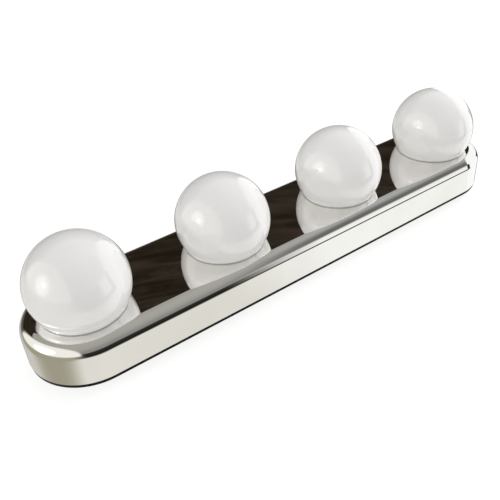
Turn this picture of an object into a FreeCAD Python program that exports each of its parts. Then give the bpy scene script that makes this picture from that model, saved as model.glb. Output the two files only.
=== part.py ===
import FreeCAD, Part
import math
import os
import re
import Sketcher

# Battery vanity light bar: a stadium-shaped chrome shell that carries four opal globes, closed
# behind by a black cover with a battery box and two suction cups. Millimetres. X runs along the
# bar, +Z is the way the globes shine, and Z = 0 is the plane that the suction cups' lips rest on.

CELLS = (
    ("bar_length", 302, "chrome shell, end to end"),
    ("bar_width", 58.6, "chrome shell, across; the ends are half circles"),
    ("shell_height", 21.6, "rim to face"),
    ("shell_wall", 2, "wall of the shell"),
    ("edge_radius", 6.5, "rounding between the face and the side"),
    ("cup_standoff", 5, "suction cup lip to the back of the cover"),
    ("cover_thickness", 1.8, "back cover plate"),
    ("cover_inset", 0.3, "cover edge inside the shell's side"),
    ("lip_gap", 0.2, "locating lip to the shell's wall"),
    ("lip_thickness", 1.2, "locating lip of the cover"),
    ("lip_height", 2.5, "locating lip of the cover"),
    ("globe_pitch", 80, "globe to globe"),
    ("globe_radius", 24.7, "outside of a globe"),
    ("globe_rise", 13.6, "globe centre above the face"),
    ("globe_wall", 1.6, "opal wall"),
    ("globe_ledge", 1, "solid base of a globe above the face"),
    ("neck_radius", 19.8, "neck of a globe, outside"),
    ("neck_bore", 17.8, "neck of a globe, inside radius"),
    ("neck_gap", 0.1, "neck end to the clamp disc"),
    ("face_hole_radius", 20, "hole in the shell for a neck"),
    ("stud_circle", 15.8, "radius that the clamp screws stand on"),
    ("stud_radius", 2.4, "screw stud in a globe"),
    ("stud_height", 6, "screw stud in a globe"),
    ("clamp_radius", 21.4, "disc that clamps a globe to the shell"),
    ("clamp_thickness", 1.5, "disc that clamps a globe to the shell"),
    ("board_radius", 17.6, "LED board"),
    ("board_thickness", 1.2, "LED board"),
    ("chip_circle", 8, "radius that the LEDs stand on"),
    ("chip_length", 3.5, "LED package"),
    ("chip_width", 2.8, "LED package"),
    ("chip_height", 0.9, "LED package"),
    ("small_screw_radius", 1, "M2 shank"),
    ("small_head_radius", 1.9, "M2 head"),
    ("small_head_height", 1.2, "M2 head"),
    ("clamp_screw_length", 7, "M2 countersunk screw, overall"),
    ("post_radius", 2.8, "screw post of the shell"),
    ("side_post_offset", 22, "side screw posts from the bar's centre line"),
    ("end_post_offset", 145, "end screw posts from the bar's middle"),
    ("pilot_depth", 8, "hole up a screw post"),
    ("boss_radius", 3, "screw boss of the cover"),
    ("boss_height", 3.5, "screw boss of the cover"),
    ("counterbore_radius", 2.3, "recess for a cover screw's head"),
    ("counterbore_depth", 2.2, "recess for a cover screw's head"),
    ("cover_screw_radius", 1.2, "cover screw shank"),
    ("cover_screw_bore", 1.3, "hole in the cover for the shank"),
    ("cover_head_radius", 2.1, "cover screw head"),
    ("cover_head_height", 1.5, "cover screw head"),
    ("cover_screw_length", 10, "under the head"),
    ("cup_offset", 105, "suction cup from the bar's middle"),
    ("cup_radius", 21, "lip of a suction cup"),
    ("cup_land", 1.4, "flat ring under the lip"),
    ("cup_edge", 0.8, "height of the lip's edge"),
    ("cup_hollow", 5, "depth of the cup"),
    ("cup_dome", 8.8, "height of the cup's shoulder"),
    ("cup_shoulder", 8, "radius of the cup's shoulder"),
    ("cup_neck", 4, "neck of a suction cup"),
    ("cup_neck_top", 11, "underside of the button"),
    ("cup_button", 6, "button of a suction cup"),
    ("cup_top", 14, "top of the button"),
    ("cup_bevel", 0.8, "bevel of the button"),
    ("pocket_radius", 22.8, "round pocket behind a suction cup"),
    ("pocket_wall", 1.2, "wall of the round pocket"),
    ("pocket_depth", 4, "depth of the round pocket"),
    ("keyhole_radius", 6.5, "hole that the button goes through"),
    ("keyhole_slot", 4.1, "half width of the keyhole's slot"),
    ("keyhole_travel", 10, "keyhole hole to its seat"),
    ("cell_radius", 7.25, "AA cell"),
    ("cell_length", 49.5, "AA cell without its nub"),
    ("nub_radius", 2.75, "positive nub"),
    ("nub_length", 1, "positive nub"),
    ("cell_offset", 7.35, "cell axis from the bar's centre line"),
    ("axis_height", 15, "cell axis, wires and switch"),
    ("box_half_length", 53, "battery box, inside"),
    ("box_half_width", 14.8, "battery box, inside"),
    ("box_wall", 1.1, "battery box"),
    ("box_ceiling", 22.6, "battery box, inside"),
    ("box_roof", 1, "battery box, top wall"),
    ("flange_width", 2, "foot of the battery box"),
    ("leaf_thickness", 0.4, "contact metal"),
    ("contact_width", 8, "contact for one cell"),
    ("contact_half_height", 5.5, "contact above and below the cell axis"),
    ("tab_width", 2.4, "solder tab"),
    ("tab_reach", 3.5, "solder tab beyond the contact"),
    ("tab_clearance", 0.3, "solder tab in the box's wall"),
    ("door_thickness", 1.6, "battery door"),
    ("door_ledge", 0.6, "box wall that the door closes on"),
    ("door_gap", 0.2, "door edge to the cover"),
    ("tongue_width", 8, "door tongue"),
    ("tongue_offset", 36, "door tongues from the bar's middle"),
    ("tongue_reach", 2, "tongue beyond the door's edge"),
    ("tongue_thickness", 1, "door tongue"),
    ("tongue_lift", 0.3, "tongue above the door's inner face"),
    ("tongue_root", 1.4, "root of a door tongue"),
    ("slot_clearance", 0.3, "each side of a tongue"),
    ("slot_height", 2, "slot above the cover plate"),
    ("finger_width", 12, "spring finger of the door"),
    ("finger_length", 9, "spring finger of the door"),
    ("slit_width", 0.8, "each side of the spring finger"),
    ("scoop_radius", 6, "fingertip scoop in the cover"),
    ("scoop_depth", 1, "fingertip scoop in the cover"),
    ("grip_height", 0.5, "grip bars of the door"),
    ("grip_width", 1, "grip bars of the door"),
    ("pad_thickness", 0.9, "foam pad in the door"),
    ("pad_half_length", 44, "foam pad in the door"),
    ("pad_half_width", 11.5, "foam pad in the door"),
    ("switch_offset", 70, "switch from the bar's middle"),
    ("switch_half_length", 7.5, "switch case"),
    ("switch_half_height", 3, "switch case"),
    ("switch_back", 18.5, "back of the switch case from the centre line"),
    ("switch_front", 25, "front of the switch case from the centre line"),
    ("ear_half_length", 12, "mounting ears of the switch"),
    ("ear_half_height", 2.5, "mounting ears of the switch"),
    ("ear_thickness", 0.8, "mounting ears of the switch"),
    ("ear_screw_offset", 9.6, "ear screw from the switch's middle"),
    ("ear_boss_radius", 2.4, "boss on the shell's wall"),
    ("ear_screw_length", 2.9, "under the head"),
    ("knob_half_length", 2.75, "switch knob"),
    ("knob_half_height", 2.2, "switch knob"),
    ("knob_proud", 1.2, "switch knob beyond the shell"),
    ("knob_base_half_length", 3.4, "slider of the knob"),
    ("knob_base_half_height", 2.1, "slider of the knob"),
    ("knob_base_depth", 2.8, "slider of the knob"),
    ("knob_travel", 3, "off to on"),
    ("knob_clearance", 0.3, "around the knob and its slider"),
    ("groove_depth", 0.4, "finger grooves of the knob"),
    ("groove_width", 0.7, "finger grooves of the knob"),
    ("groove_pitch", 1.5, "finger grooves of the knob"),
    ("pin_radius", 0.5, "switch pin"),
    ("pin_spacing", 4, "switch pins"),
    ("pin_length", 2.6, "switch pin"),
    ("wire_radius", 0.55, "insulated wire"),
    ("wire_side", 16.9, "wires from the bar's centre line"),
    ("wire_level", 23.6, "wires that link the boards"),
    ("wire_half_spacing", 0.65, "two wires side by side"),
    ("wire_hole_clearance", 0.25, "around the wires"),
    ("lead_run", 12, "straight run of a lead before it crosses over"),
    ("lead_cross", 14, "length along the bar in which a lead crosses over"),
    ("lead_step", 4, "lead from the switch beyond the cell's axis"),
    ("wire_bend", 2.5, "inside a bend, to the wire's axis"),
)

# Sizes that follow from the cells above.
DERIVED = {
    "end_centre": "bar_length/2 - bar_width/2",
    "cover_top": "cup_standoff + cover_thickness",
    "face": "cover_top + shell_height",
    "ceiling": "face - shell_wall",
    "globe_centre": "face + globe_rise",
    "clamp_bottom": "ceiling - clamp_thickness",
    "board_top": "ceiling + board_thickness",
    "inside_half_width": "bar_width/2 - shell_wall",
    "boss_top": "cover_top + boss_height",
    "pocket_floor": "cup_standoff + pocket_depth",
    "pocket_top": "pocket_floor + cover_thickness",
    "door_top": "cup_standoff + door_thickness",
    "recess_half_width": "box_half_width + door_ledge",
    "recess_half_length": "box_half_length + door_ledge",
    "door_half_width": "recess_half_width - door_gap",
    "door_half_length": "recess_half_length - door_gap",
    "tongue_bottom": "door_top + tongue_lift",
    "contact_face": "box_half_length - leaf_thickness",
    "leaf_tip": "contact_face - leaf_reach",
    "leaf_reach": "2*contact_face - 2*cell_length - 2*nub_length",
    "tab_end": "box_half_length + tab_reach",
    "pin_end": "switch_back - pin_length",
    "slider_back": "switch_front - knob_base_depth",
    "wire_top": "ceiling + board_thickness/2",
}

doc = FreeCAD.newDocument("VanityLightBar")
sheet = doc.addObject("Spreadsheet::Sheet", "Sizes")
for row, (alias, number, meaning) in enumerate(CELLS, 1):
    sheet.set(f"A{row}", alias)
    sheet.set(f"B{row}", str(number))
    sheet.set(f"C{row}", meaning)
    sheet.setAlias(f"B{row}", alias)
doc.recompute()
ALIASES = {cell[0] for cell in CELLS}
sub_parts = []


def formula(text):
    """Write a formula in cell aliases and derived sizes as an expression on the sheet."""
    def spell(match):
        word = match.group()
        if word in ALIASES:
            return "Sizes." + word
        if word in DERIVED:
            return "(" + formula(DERIVED[word]) + ")"
        return word
    return re.sub(r"[a-z][a-z_]*", spell, text)


def size(text):
    """The present value of a formula, in millimetres."""
    return float(sheet.evalExpression(formula(text)))


def bind(thing, **formulas):
    """Bind properties to formulas; a double underscore stands for the dot in a property's path."""
    for path, text in formulas.items():
        thing.setExpression(path.replace("__", "."), formula(text))


def keep(thing, label):
    """Name a finished sub-part and list it for export."""
    thing.Label = label
    sub_parts.append(thing)
    return thing


# ---- sketches and PartDesign features ------------------------------------------------------

def sketch(body, name, plane="XY_Plane", level="0"):
    """An empty sketch on one of the body's own planes, moved along the plane's normal."""
    drawing = body.newObject("Sketcher::SketchObject", body.Name + "_" + name)
    support = [item for item in body.Origin.OriginFeatures if item.Role == plane][0]
    drawing.AttachmentSupport = [(support, "")]
    drawing.MapMode = "FlatFace"
    bind(drawing, AttachmentOffset__Base__z=level)
    return drawing


def hold(drawing, kind, targets, text):
    """Add one dimension to a sketch and bind it to a formula."""
    index = drawing.addConstraint(Sketcher.Constraint(kind, *targets, size(text)))
    drawing.setExpression(f"Constraints[{index}]", formula(text))


def hold_point(drawing, geometry, point, x, y):
    """Hold a point of the sketch at (x, y) from its origin."""
    hold(drawing, "DistanceX", (-1, 1, geometry, point), x)
    hold(drawing, "DistanceY", (-1, 1, geometry, point), y)


def draw_circle(drawing, x, y, radius):
    """A circle with its centre and radius held."""
    centre = FreeCAD.Vector(size(x), size(y), 0)
    circle = drawing.addGeometry(Part.Circle(centre, FreeCAD.Vector(0, 0, 1), size(radius)))
    hold(drawing, "Radius", (circle,), radius)
    hold_point(drawing, circle, 3, x, y)


def draw_outline(drawing, corners):
    """A closed outline of straight sides through the corners."""
    points = [FreeCAD.Vector(size(x), size(y), 0) for x, y in corners]
    following = points[1:] + points[:1]
    lines = [drawing.addGeometry(Part.LineSegment(*ends)) for ends in zip(points, following)]
    for line, after in zip(lines, lines[1:] + lines[:1]):
        drawing.addConstraint(Sketcher.Constraint("Coincident", line, 2, after, 1))
    for line, (x, y) in zip(lines, corners):
        hold_point(drawing, line, 1, x, y)


def draw_rectangle(drawing, x0, x1, y0, y1):
    """An upright rectangle between two corners."""
    draw_outline(drawing, ((x0, y0), (x1, y0), (x1, y1), (x0, y1)))


def draw_stadium(drawing, x0, x1, radius):
    """Two half circles centred on the X axis at x0 and x1, joined by straight sides."""
    left, right, reach = size(x0), size(x1), size(radius)
    up = FreeCAD.Vector(0, 0, 1)
    quarter = math.pi/2
    ends = []
    for centre, start in ((left, quarter), (right, -quarter)):
        circle = Part.Circle(FreeCAD.Vector(centre, 0, 0), up, reach)
        ends.append(drawing.addGeometry(Part.ArcOfCircle(circle, start, start + math.pi)))
    sides = []
    for start, end, y in ((left, right, -reach), (right, left, reach)):
        line = Part.LineSegment(FreeCAD.Vector(start, y, 0), FreeCAD.Vector(end, y, 0))
        sides.append(drawing.addGeometry(line))
    joints = ((ends[0], 2, sides[0], 1), (sides[0], 2, ends[1], 1),
              (ends[1], 2, sides[1], 1), (sides[1], 2, ends[0], 1))
    for joint in joints:
        drawing.addConstraint(Sketcher.Constraint("Tangent", *joint))
    drawing.addConstraint(Sketcher.Constraint("Equal", *ends))
    hold(drawing, "Radius", (ends[0],), radius)
    hold_point(drawing, ends[0], 3, x0, "0")
    hold_point(drawing, ends[1], 3, x1, "0")


def feature(body, kind, drawing, length, back=False):
    """A Pad or a Pocket of a sketch; back turns it round."""
    step = body.newObject("PartDesign::" + kind, drawing.Name + "_" + kind.lower())
    step.Profile = drawing
    step.Reversed = back
    bind(step, Length=length)
    drawing.Visibility = False
    doc.recompute()
    return step


def pad_up(body, drawing, length):
    """Add material above a sketch."""
    return feature(body, "Pad", drawing, length)


def cut_up(body, drawing, length):
    """Remove material above a sketch, and make sure that some was removed."""
    before = body.Shape.Volume
    step = feature(body, "Pocket", drawing, length, back=True)
    if body.Shape.Volume > before - 0.01:
        raise RuntimeError(drawing.Name + " cuts nothing")
    return step


def revolve(body, drawing):
    """Turn a sketch on the XZ plane about the Z axis."""
    step = body.newObject("PartDesign::Revolution", drawing.Name + "_turn")
    step.Profile = drawing
    step.ReferenceAxis = (drawing, ["V_Axis"])
    step.Angle = 360
    doc.recompute()
    return step


def round_edges(body, base, height, radius):
    """Round the edges of a feature that lie flat at one height."""
    level = size(height)
    names = []
    for number, edge in enumerate(base.Shape.Edges, 1):
        if all(abs(corner.Z - level) < 0.01 for corner in edge.Vertexes):
            names.append(f"Edge{number}")
    step = body.newObject("PartDesign::Fillet", base.Name + "_round")
    step.Base = (base, names)
    bind(step, Radius=radius)
    doc.recompute()
    return step


def new_body(label):
    """A PartDesign body that is a sub-part."""
    return keep(doc.addObject("PartDesign::Body", label), label)


# ---- Part primitives and booleans ----------------------------------------------------------

def block(name, x, y, z):
    """A box between the two ends given on each axis."""
    solid = doc.addObject("Part::Box", name)
    for axis, side, (low, high) in zip("xyz", ("Length", "Width", "Height"), (x, y, z)):
        solid.setExpression(side, formula(f"({high}) - ({low})"))
        solid.setExpression("Placement.Base." + axis, formula(low))
    return solid


TURNS = {
    "+Z": FreeCAD.Rotation(),
    "+X": FreeCAD.Rotation(FreeCAD.Vector(0, 1, 0), 90),
    "+Y": FreeCAD.Rotation(FreeCAD.Vector(1, 0, 0), -90),
    "-X": FreeCAD.Rotation(FreeCAD.Vector(0, 1, 0), -90),
    "-Y": FreeCAD.Rotation(FreeCAD.Vector(1, 0, 0), 90),
}


def stand(solid, x, y, z, axis="+Z"):
    """Move a primitive to a point and turn its own axis."""
    solid.Placement.Rotation = TURNS[axis]
    bind(solid, Placement__Base__x=x, Placement__Base__y=y, Placement__Base__z=z)
    return solid


def rod(name, radius, length, x, y, z, axis="+Z"):
    """A cylinder from a point along an axis."""
    solid = doc.addObject("Part::Cylinder", name)
    bind(solid, Radius=radius, Height=length)
    return stand(solid, x, y, z, axis)


def ball(name, radius, height):
    """A sphere on the Z axis."""
    solid = doc.addObject("Part::Sphere", name)
    bind(solid, Radius=radius)
    return stand(solid, "0", "0", height)


def taper(name, first, last, length, x, y, z, axis="+Z"):
    """A cone that goes from its first radius to its last."""
    solid = doc.addObject("Part::Cone", name)
    bind(solid, Radius1=first, Radius2=last, Height=length)
    return stand(solid, x, y, z, axis)


def join(name, *pieces):
    """One solid from several."""
    whole = doc.addObject("Part::MultiFuse", name)
    whole.Shapes = list(pieces)
    whole.Refine = True
    return whole


def subtract(name, base, *tools):
    """A solid with others taken away."""
    rest = doc.addObject("Part::Cut", name)
    rest.Base = base
    rest.Tool = tools[0] if len(tools) == 1 else join(name + "_tools", *tools)
    rest.Refine = True
    return rest


def group(label, pieces):
    """Identical pieces that share one node, each still a solid of its own."""
    whole = doc.addObject("Part::Compound", label)
    whole.Links = pieces
    return keep(whole, label)


def move_along_bar(thing, x):
    """Place a finished sub-part along the bar."""
    bind(thing, Placement__Base__x=x)


GLOBES = (("1", "-1.5*globe_pitch"), ("2", "-0.5*globe_pitch"),
          ("3", "0.5*globe_pitch"), ("4", "1.5*globe_pitch"))
STUD_ANGLES = (0, 120, 240)
CHIPS_PER_BOARD = 6
POSTS = (("-end_post_offset", "0"), ("end_post_offset", "0"),
         ("0", "-side_post_offset"), ("0", "side_post_offset"))
ENDS = (("left", "-1"), ("right", "1"))


def on_circle(radius, angle):
    """Formulas for a point on a circle about the origin, at an angle in degrees."""
    return f"{radius}*cos({angle}deg)", f"{radius}*sin({angle}deg)"


# ---- chrome shell --------------------------------------------------------------------------

def make_front_shell():
    shell = new_body("front_shell")
    plan = sketch(shell, "plan", level="cover_top")
    draw_stadium(plan, "-end_centre", "end_centre", "bar_width/2")
    outside = round_edges(shell, pad_up(shell, plan, "shell_height"), "face", "edge_radius")
    rim = next(number for number, surface in enumerate(outside.Shape.Faces, 1)
               if abs(surface.CenterOfMass.z - size("cover_top")) < 0.01)
    hollow = shell.newObject("PartDesign::Thickness", "front_shell_hollow")
    hollow.Base = (outside, [f"Face{rim}"])
    hollow.Reversed = True
    hollow.Join = 1
    bind(hollow, Value="shell_wall")
    doc.recompute()

    posts = sketch(shell, "posts", level="boss_top")
    for x, y in POSTS:
        draw_circle(posts, x, y, "post_radius")
    pad_up(shell, posts, "ceiling - boss_top")
    pilots = sketch(shell, "pilots", level="boss_top")
    for x, y in POSTS:
        draw_circle(pilots, x, y, "cover_screw_radius")
    cut_up(shell, pilots, "pilot_depth")

    holes = sketch(shell, "globe_holes", level="ceiling - 1")
    for _, x in GLOBES:
        draw_circle(holes, x, "0", "face_hole_radius")
    cut_up(shell, holes, "shell_wall + 2")

    # the XZ plane faces -Y, so a positive level lies on the -Y side
    bosses = sketch(shell, "switch_bosses", "XZ_Plane", "-switch_front")
    for side in ("-1", "1"):
        x = f"switch_offset + {side}*ear_screw_offset"
        draw_circle(bosses, x, "axis_height", "ear_boss_radius")
    feature(shell, "Pad", bosses, "inside_half_width - switch_front + shell_wall/2", back=True)
    threads = sketch(shell, "switch_threads", "XZ_Plane", "-switch_front")
    for side in ("-1", "1"):
        x = f"switch_offset + {side}*ear_screw_offset"
        draw_circle(threads, x, "axis_height", "small_screw_radius")
    feature(shell, "Pocket", threads, "ear_screw_length - ear_thickness")
    window = sketch(shell, "switch_window", "XZ_Plane", "-inside_half_width + 1")
    reach = "(knob_half_length + knob_travel/2 + knob_clearance)"
    rise = "(knob_half_height + knob_clearance)"
    draw_rectangle(window, f"switch_offset - {reach}", f"switch_offset + {reach}",
                   f"axis_height - {rise}", f"axis_height + {rise}")
    feature(shell, "Pocket", window, "shell_wall + 2")


# ---- black back cover ----------------------------------------------------------------------

def make_back_cover():
    cover = new_body("back_cover")
    plan = sketch(cover, "plan", level="cup_standoff")
    draw_stadium(plan, "-end_centre", "end_centre", "bar_width/2 - cover_inset")
    pad_up(cover, plan, "cover_thickness")
    lip = sketch(cover, "lip", level="cover_top")
    draw_stadium(lip, "-end_centre", "end_centre", "inside_half_width - lip_gap")
    draw_stadium(lip, "-end_centre", "end_centre", "inside_half_width - lip_gap - lip_thickness")
    pad_up(cover, lip, "lip_height")
    bosses = sketch(cover, "bosses", level="cover_top")
    for x, y in POSTS:
        draw_circle(bosses, x, y, "boss_radius")
    pad_up(cover, bosses, "boss_height")

    # round pockets that the suction cups sit in
    cans = sketch(cover, "cup_cans", level="cover_top")
    for _, side in ENDS:
        draw_circle(cans, f"{side}*cup_offset", "0", "pocket_radius + pocket_wall")
    pad_up(cover, cans, "pocket_depth")
    pockets = sketch(cover, "cup_pockets", level="cup_standoff")
    for _, side in ENDS:
        draw_circle(pockets, f"{side}*cup_offset", "0", "pocket_radius")
    cut_up(cover, pockets, "pocket_depth")
    for name, side in ENDS:
        entry = sketch(cover, f"keyhole_{name}", level="pocket_floor")
        draw_circle(entry, f"{side}*(cup_offset - keyhole_travel)", "0", "keyhole_radius")
        cut_up(cover, entry, "cover_thickness")
        slot = sketch(cover, f"keyhole_slot_{name}", level="pocket_floor")
        inner, outer = f"{side}*(cup_offset - keyhole_travel)", f"{side}*cup_offset"
        low, high = (outer, inner) if side == "-1" else (inner, outer)
        draw_stadium(slot, low, high, "keyhole_slot")
        cut_up(cover, slot, "cover_thickness")

    # battery box, with the recess that the door closes
    flange = sketch(cover, "box_flange", level="cover_top")
    length, width = "(box_half_length + box_wall)", "(box_half_width + box_wall)"
    draw_rectangle(flange, f"-{length} - flange_width", f"{length} + flange_width",
                   f"-{width} - flange_width", f"{width} + flange_width")
    pad_up(cover, flange, "slot_height")
    walls = sketch(cover, "box_walls", level="cover_top")
    draw_rectangle(walls, f"-{length}", length, f"-{width}", width)
    pad_up(cover, walls, "box_ceiling + box_roof - cover_top")
    inside = sketch(cover, "box_inside", level="cup_standoff")
    draw_rectangle(inside, "-box_half_length", "box_half_length", "-box_half_width", "box_half_width")
    cut_up(cover, inside, "box_ceiling - cup_standoff")
    recess = sketch(cover, "door_recess", level="cup_standoff")
    draw_rectangle(recess, "-recess_half_length", "recess_half_length",
                   "-recess_half_width", "recess_half_width")
    cut_up(cover, recess, "door_thickness")
    for name, side in ENDS:
        reach = "(tongue_width/2 + slot_clearance)"
        ends = f"{side}*tongue_offset - {reach}", f"{side}*tongue_offset + {reach}"
        slot = sketch(cover, f"tongue_slot_{name}", level="cover_top")
        draw_rectangle(slot, *ends, f"-{width} - flange_width - 1", "-box_half_width + 1")
        cut_up(cover, slot, "slot_height")
        relief = sketch(cover, f"tongue_relief_{name}", level="door_top - 0.5")
        draw_rectangle(relief, *ends, "-recess_half_width", "-box_half_width + 1")
        cut_up(cover, relief, "cover_top - door_top + 1")
    scoop = sketch(cover, "finger_scoop", level="cup_standoff")
    draw_circle(scoop, "0", "recess_half_width", "scoop_radius")
    cut_up(cover, scoop, "scoop_depth")

    # solder tabs come out through the +X end of the box
    tabs = sketch(cover, "tab_slots", "YZ_Plane", "box_half_length - 0.5")
    for side in ("-1", "1"):
        reach, rise = "(tab_width/2 + tab_clearance)", "(leaf_thickness/2 + tab_clearance)"
        draw_rectangle(tabs, f"{side}*cell_offset - {reach}", f"{side}*cell_offset + {reach}",
                       f"axis_height - {rise}", f"axis_height + {rise}")
    cut_up(cover, tabs, "box_wall + 1")

    heads = sketch(cover, "counterbores", level="cup_standoff")
    bores = sketch(cover, "screw_bores", level="cup_standoff")
    for x, y in POSTS:
        draw_circle(heads, x, y, "counterbore_radius")
        draw_circle(bores, x, y, "cover_screw_bore")
    cut_up(cover, heads, "counterbore_depth")
    cut_up(cover, bores, "boss_top - cup_standoff")


# ---- battery door --------------------------------------------------------------------------

def make_battery_door():
    door = new_body("battery_door")
    plan = sketch(door, "plan", level="cup_standoff")
    draw_rectangle(plan, "-door_half_length", "door_half_length",
                   "-door_half_width", "door_half_width")
    pad_up(door, plan, "door_thickness")
    for name, side in ENDS:
        ends = f"{side}*tongue_offset - tongue_width/2", f"{side}*tongue_offset + tongue_width/2"
        root = sketch(door, f"tongue_root_{name}", level="door_top - 0.5")
        draw_rectangle(root, *ends, "-door_half_width + 0.1", "-door_half_width + tongue_root")
        pad_up(door, root, "tongue_lift + tongue_thickness + 0.5")
        arm = sketch(door, f"tongue_arm_{name}", level="tongue_bottom")
        draw_rectangle(arm, *ends, "-door_half_width - tongue_reach", "-door_half_width + tongue_root")
        pad_up(door, arm, "tongue_thickness")
    slits = sketch(door, "finger_slits", level="cup_standoff")
    for side in ("-1", "1"):
        inner, outer = f"{side}*finger_width/2", f"{side}*(finger_width/2 + slit_width)"
        low, high = (outer, inner) if side == "-1" else (inner, outer)
        draw_rectangle(slits, low, high, "door_half_width - finger_length", "door_half_width + 1")
    cut_up(door, slits, "door_thickness")
    grips = sketch(door, "grip_bars", level="cup_standoff - grip_height")
    for step in range(3):
        y = f"(door_half_width - {step + 1}*2*grip_width)"
        draw_rectangle(grips, "-finger_width/3", "finger_width/3", f"{y} - grip_width/2",
                       f"{y} + grip_width/2")
    pad_up(door, grips, "grip_height + 0.5")

    pad = block("door_pad", ("-pad_half_length", "pad_half_length"),
                ("-pad_half_width", "pad_half_width"), ("door_top", "door_top + pad_thickness"))
    keep(pad, "door_pad")


# ---- cells and contacts --------------------------------------------------------------------

def make_cells():
    """Two rows of two cells; the rows point opposite ways, so that all four are in series."""
    number = 0
    for row, (side, axis) in enumerate((("1", "+X"), ("-1", "-X"))):
        for place in (0, 1):
            number += 1
            y = f"{side}*cell_offset"
            nub_end = f"{side}*(contact_face - {place}*(cell_length + nub_length))"
            can = rod(f"cell_can_{number}", "cell_radius", "cell_length",
                      f"{nub_end} - {side}*(cell_length + nub_length)", y, "axis_height", axis)
            nub = rod(f"cell_nub_{number}", "nub_radius", "nub_length",
                      f"{nub_end} - {side}*nub_length", y, "axis_height", axis)
            keep(join(f"battery_cell_{number}", can, nub), f"battery_cell_{number}")


def leaf_spring(name, side):
    """A bent strip between the end contact and the flat end of a cell, at X > 0 or X < 0."""
    body = doc.addObject("PartDesign::Body", name)
    strip = sketch(body, "bend", "XZ_Plane", f"{side}*cell_offset - contact_width/2")
    reach = (("contact_face", "-contact_half_height"),
             ("contact_face", "-contact_half_height + 2*leaf_thickness"),
             ("leaf_tip + leaf_thickness", "0.5*contact_half_height - leaf_thickness"),
             ("leaf_tip + 2*leaf_reach/3", "contact_half_height"),
             ("leaf_tip + 2*leaf_reach/3 - leaf_thickness", "contact_half_height"),
             ("leaf_tip", "0.5*contact_half_height"),
             ("leaf_tip", "0.5*contact_half_height - 2*leaf_thickness"),
             ("contact_face - leaf_thickness", "-contact_half_height"))
    draw_outline(strip, [(f"{side}*({x})", f"axis_height + {z}") for x, z in reach])
    pad_up(body, strip, "contact_width")
    return body


def contact_plate(name, side, y_low, y_high):
    """Flat contact metal against one end wall of the box."""
    faces = ("contact_face", "box_half_length") if side == "1" else ("-box_half_length", "-contact_face")
    return block(name, faces, (y_low, y_high),
                 ("axis_height - contact_half_height", "axis_height + contact_half_height"))


def solder_tab(name, side):
    """Tab that goes out through the +X end wall."""
    y = f"{side}*cell_offset"
    return block(name, ("contact_face", "tab_end"), (f"{y} - tab_width/2", f"{y} + tab_width/2"),
                 ("axis_height - leaf_thickness/2", "axis_height + leaf_thickness/2"))


def make_contacts():
    reach = "contact_width/2"
    plus = join("contact_plus", contact_plate("plus_plate", "1", f"cell_offset - {reach}",
                                              f"cell_offset + {reach}"), solder_tab("plus_tab", "1"))
    keep(plus, "contact_plus")
    minus = join("contact_minus", contact_plate("minus_plate", "1", f"-cell_offset - {reach}",
                                                f"-cell_offset + {reach}"),
                 solder_tab("minus_tab", "-1"), leaf_spring("minus_leaf", "1"))
    keep(minus, "contact_minus")
    bridge = join("contact_bridge", contact_plate("bridge_plate", "-1", f"-cell_offset - {reach}",
                                                  f"cell_offset + {reach}"),
                  leaf_spring("bridge_leaf", "-1"))
    keep(bridge, "contact_bridge")


# ---- slide switch --------------------------------------------------------------------------

def make_switch():
    middle = "switch_offset"
    height = "axis_height"

    def around(centre, reach):
        return f"{centre} - ({reach})", f"{centre} + ({reach})"

    case = block("switch_case", around(middle, "switch_half_length"), ("switch_back", "switch_front"),
                 around(height, "switch_half_height"))
    ears = block("switch_ears", around(middle, "ear_half_length"),
                 ("switch_front - ear_thickness", "switch_front"), around(height, "ear_half_height"))
    pins = [rod(f"switch_pin_{number}", "pin_radius", "pin_length + 0.5",
                f"{middle} + {step}*pin_spacing", "switch_back + 0.5", height, "-Y")
            for number, step in enumerate(("-1", "0", "1"))]
    race = block("switch_race", around(middle, "knob_base_half_length + knob_travel/2 + knob_clearance"),
                 ("slider_back - knob_clearance", "switch_front + 1"),
                 around(height, "knob_base_half_height + knob_clearance"))
    ear_holes = [rod(f"ear_hole_{number}", "small_screw_radius", "ear_thickness + 2",
                     f"{middle} + {side}*ear_screw_offset", "switch_front - ear_thickness - 1", height, "+Y")
                 for number, side in enumerate(("-1", "1"))]
    keep(subtract("switch_body", join("switch_solid", case, ears, *pins), race, *ear_holes),
         "switch_body")

    off = f"{middle} - knob_travel/2"
    front = "bar_width/2 + knob_proud"
    slider = block("knob_slider", around(off, "knob_base_half_length"), ("slider_back", "switch_front"),
                   around(height, "knob_base_half_height"))
    cap = block("knob_cap", around(off, "knob_half_length"), ("switch_front - 0.5", front),
                around(height, "knob_half_height"))
    grooves = [block(f"knob_groove_{number}", around(f"{off} + {step}*groove_pitch", "groove_width/2"),
                     (f"{front} - groove_depth", f"{front} + 1"), around(height, "knob_half_height + 1"))
               for number, step in enumerate(("-1", "0", "1"))]
    keep(subtract("switch_knob", join("knob_solid", slider, cap), *grooves), "switch_knob")

    screws = []
    for number, side in enumerate(("-1", "1")):
        x = f"{middle} + {side}*ear_screw_offset"
        head = rod(f"ear_screw_head_{number}", "small_head_radius", "small_head_height", x,
                   "switch_front - ear_thickness", height, "-Y")
        shank = rod(f"ear_screw_shank_{number}", "small_screw_radius", "ear_screw_length", x,
                    "switch_front - ear_thickness", height, "+Y")
        screws.append(join(f"ear_screw_{number}", head, shank))
    group("switch_screws", screws)


# ---- globes with their boards --------------------------------------------------------------

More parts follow.
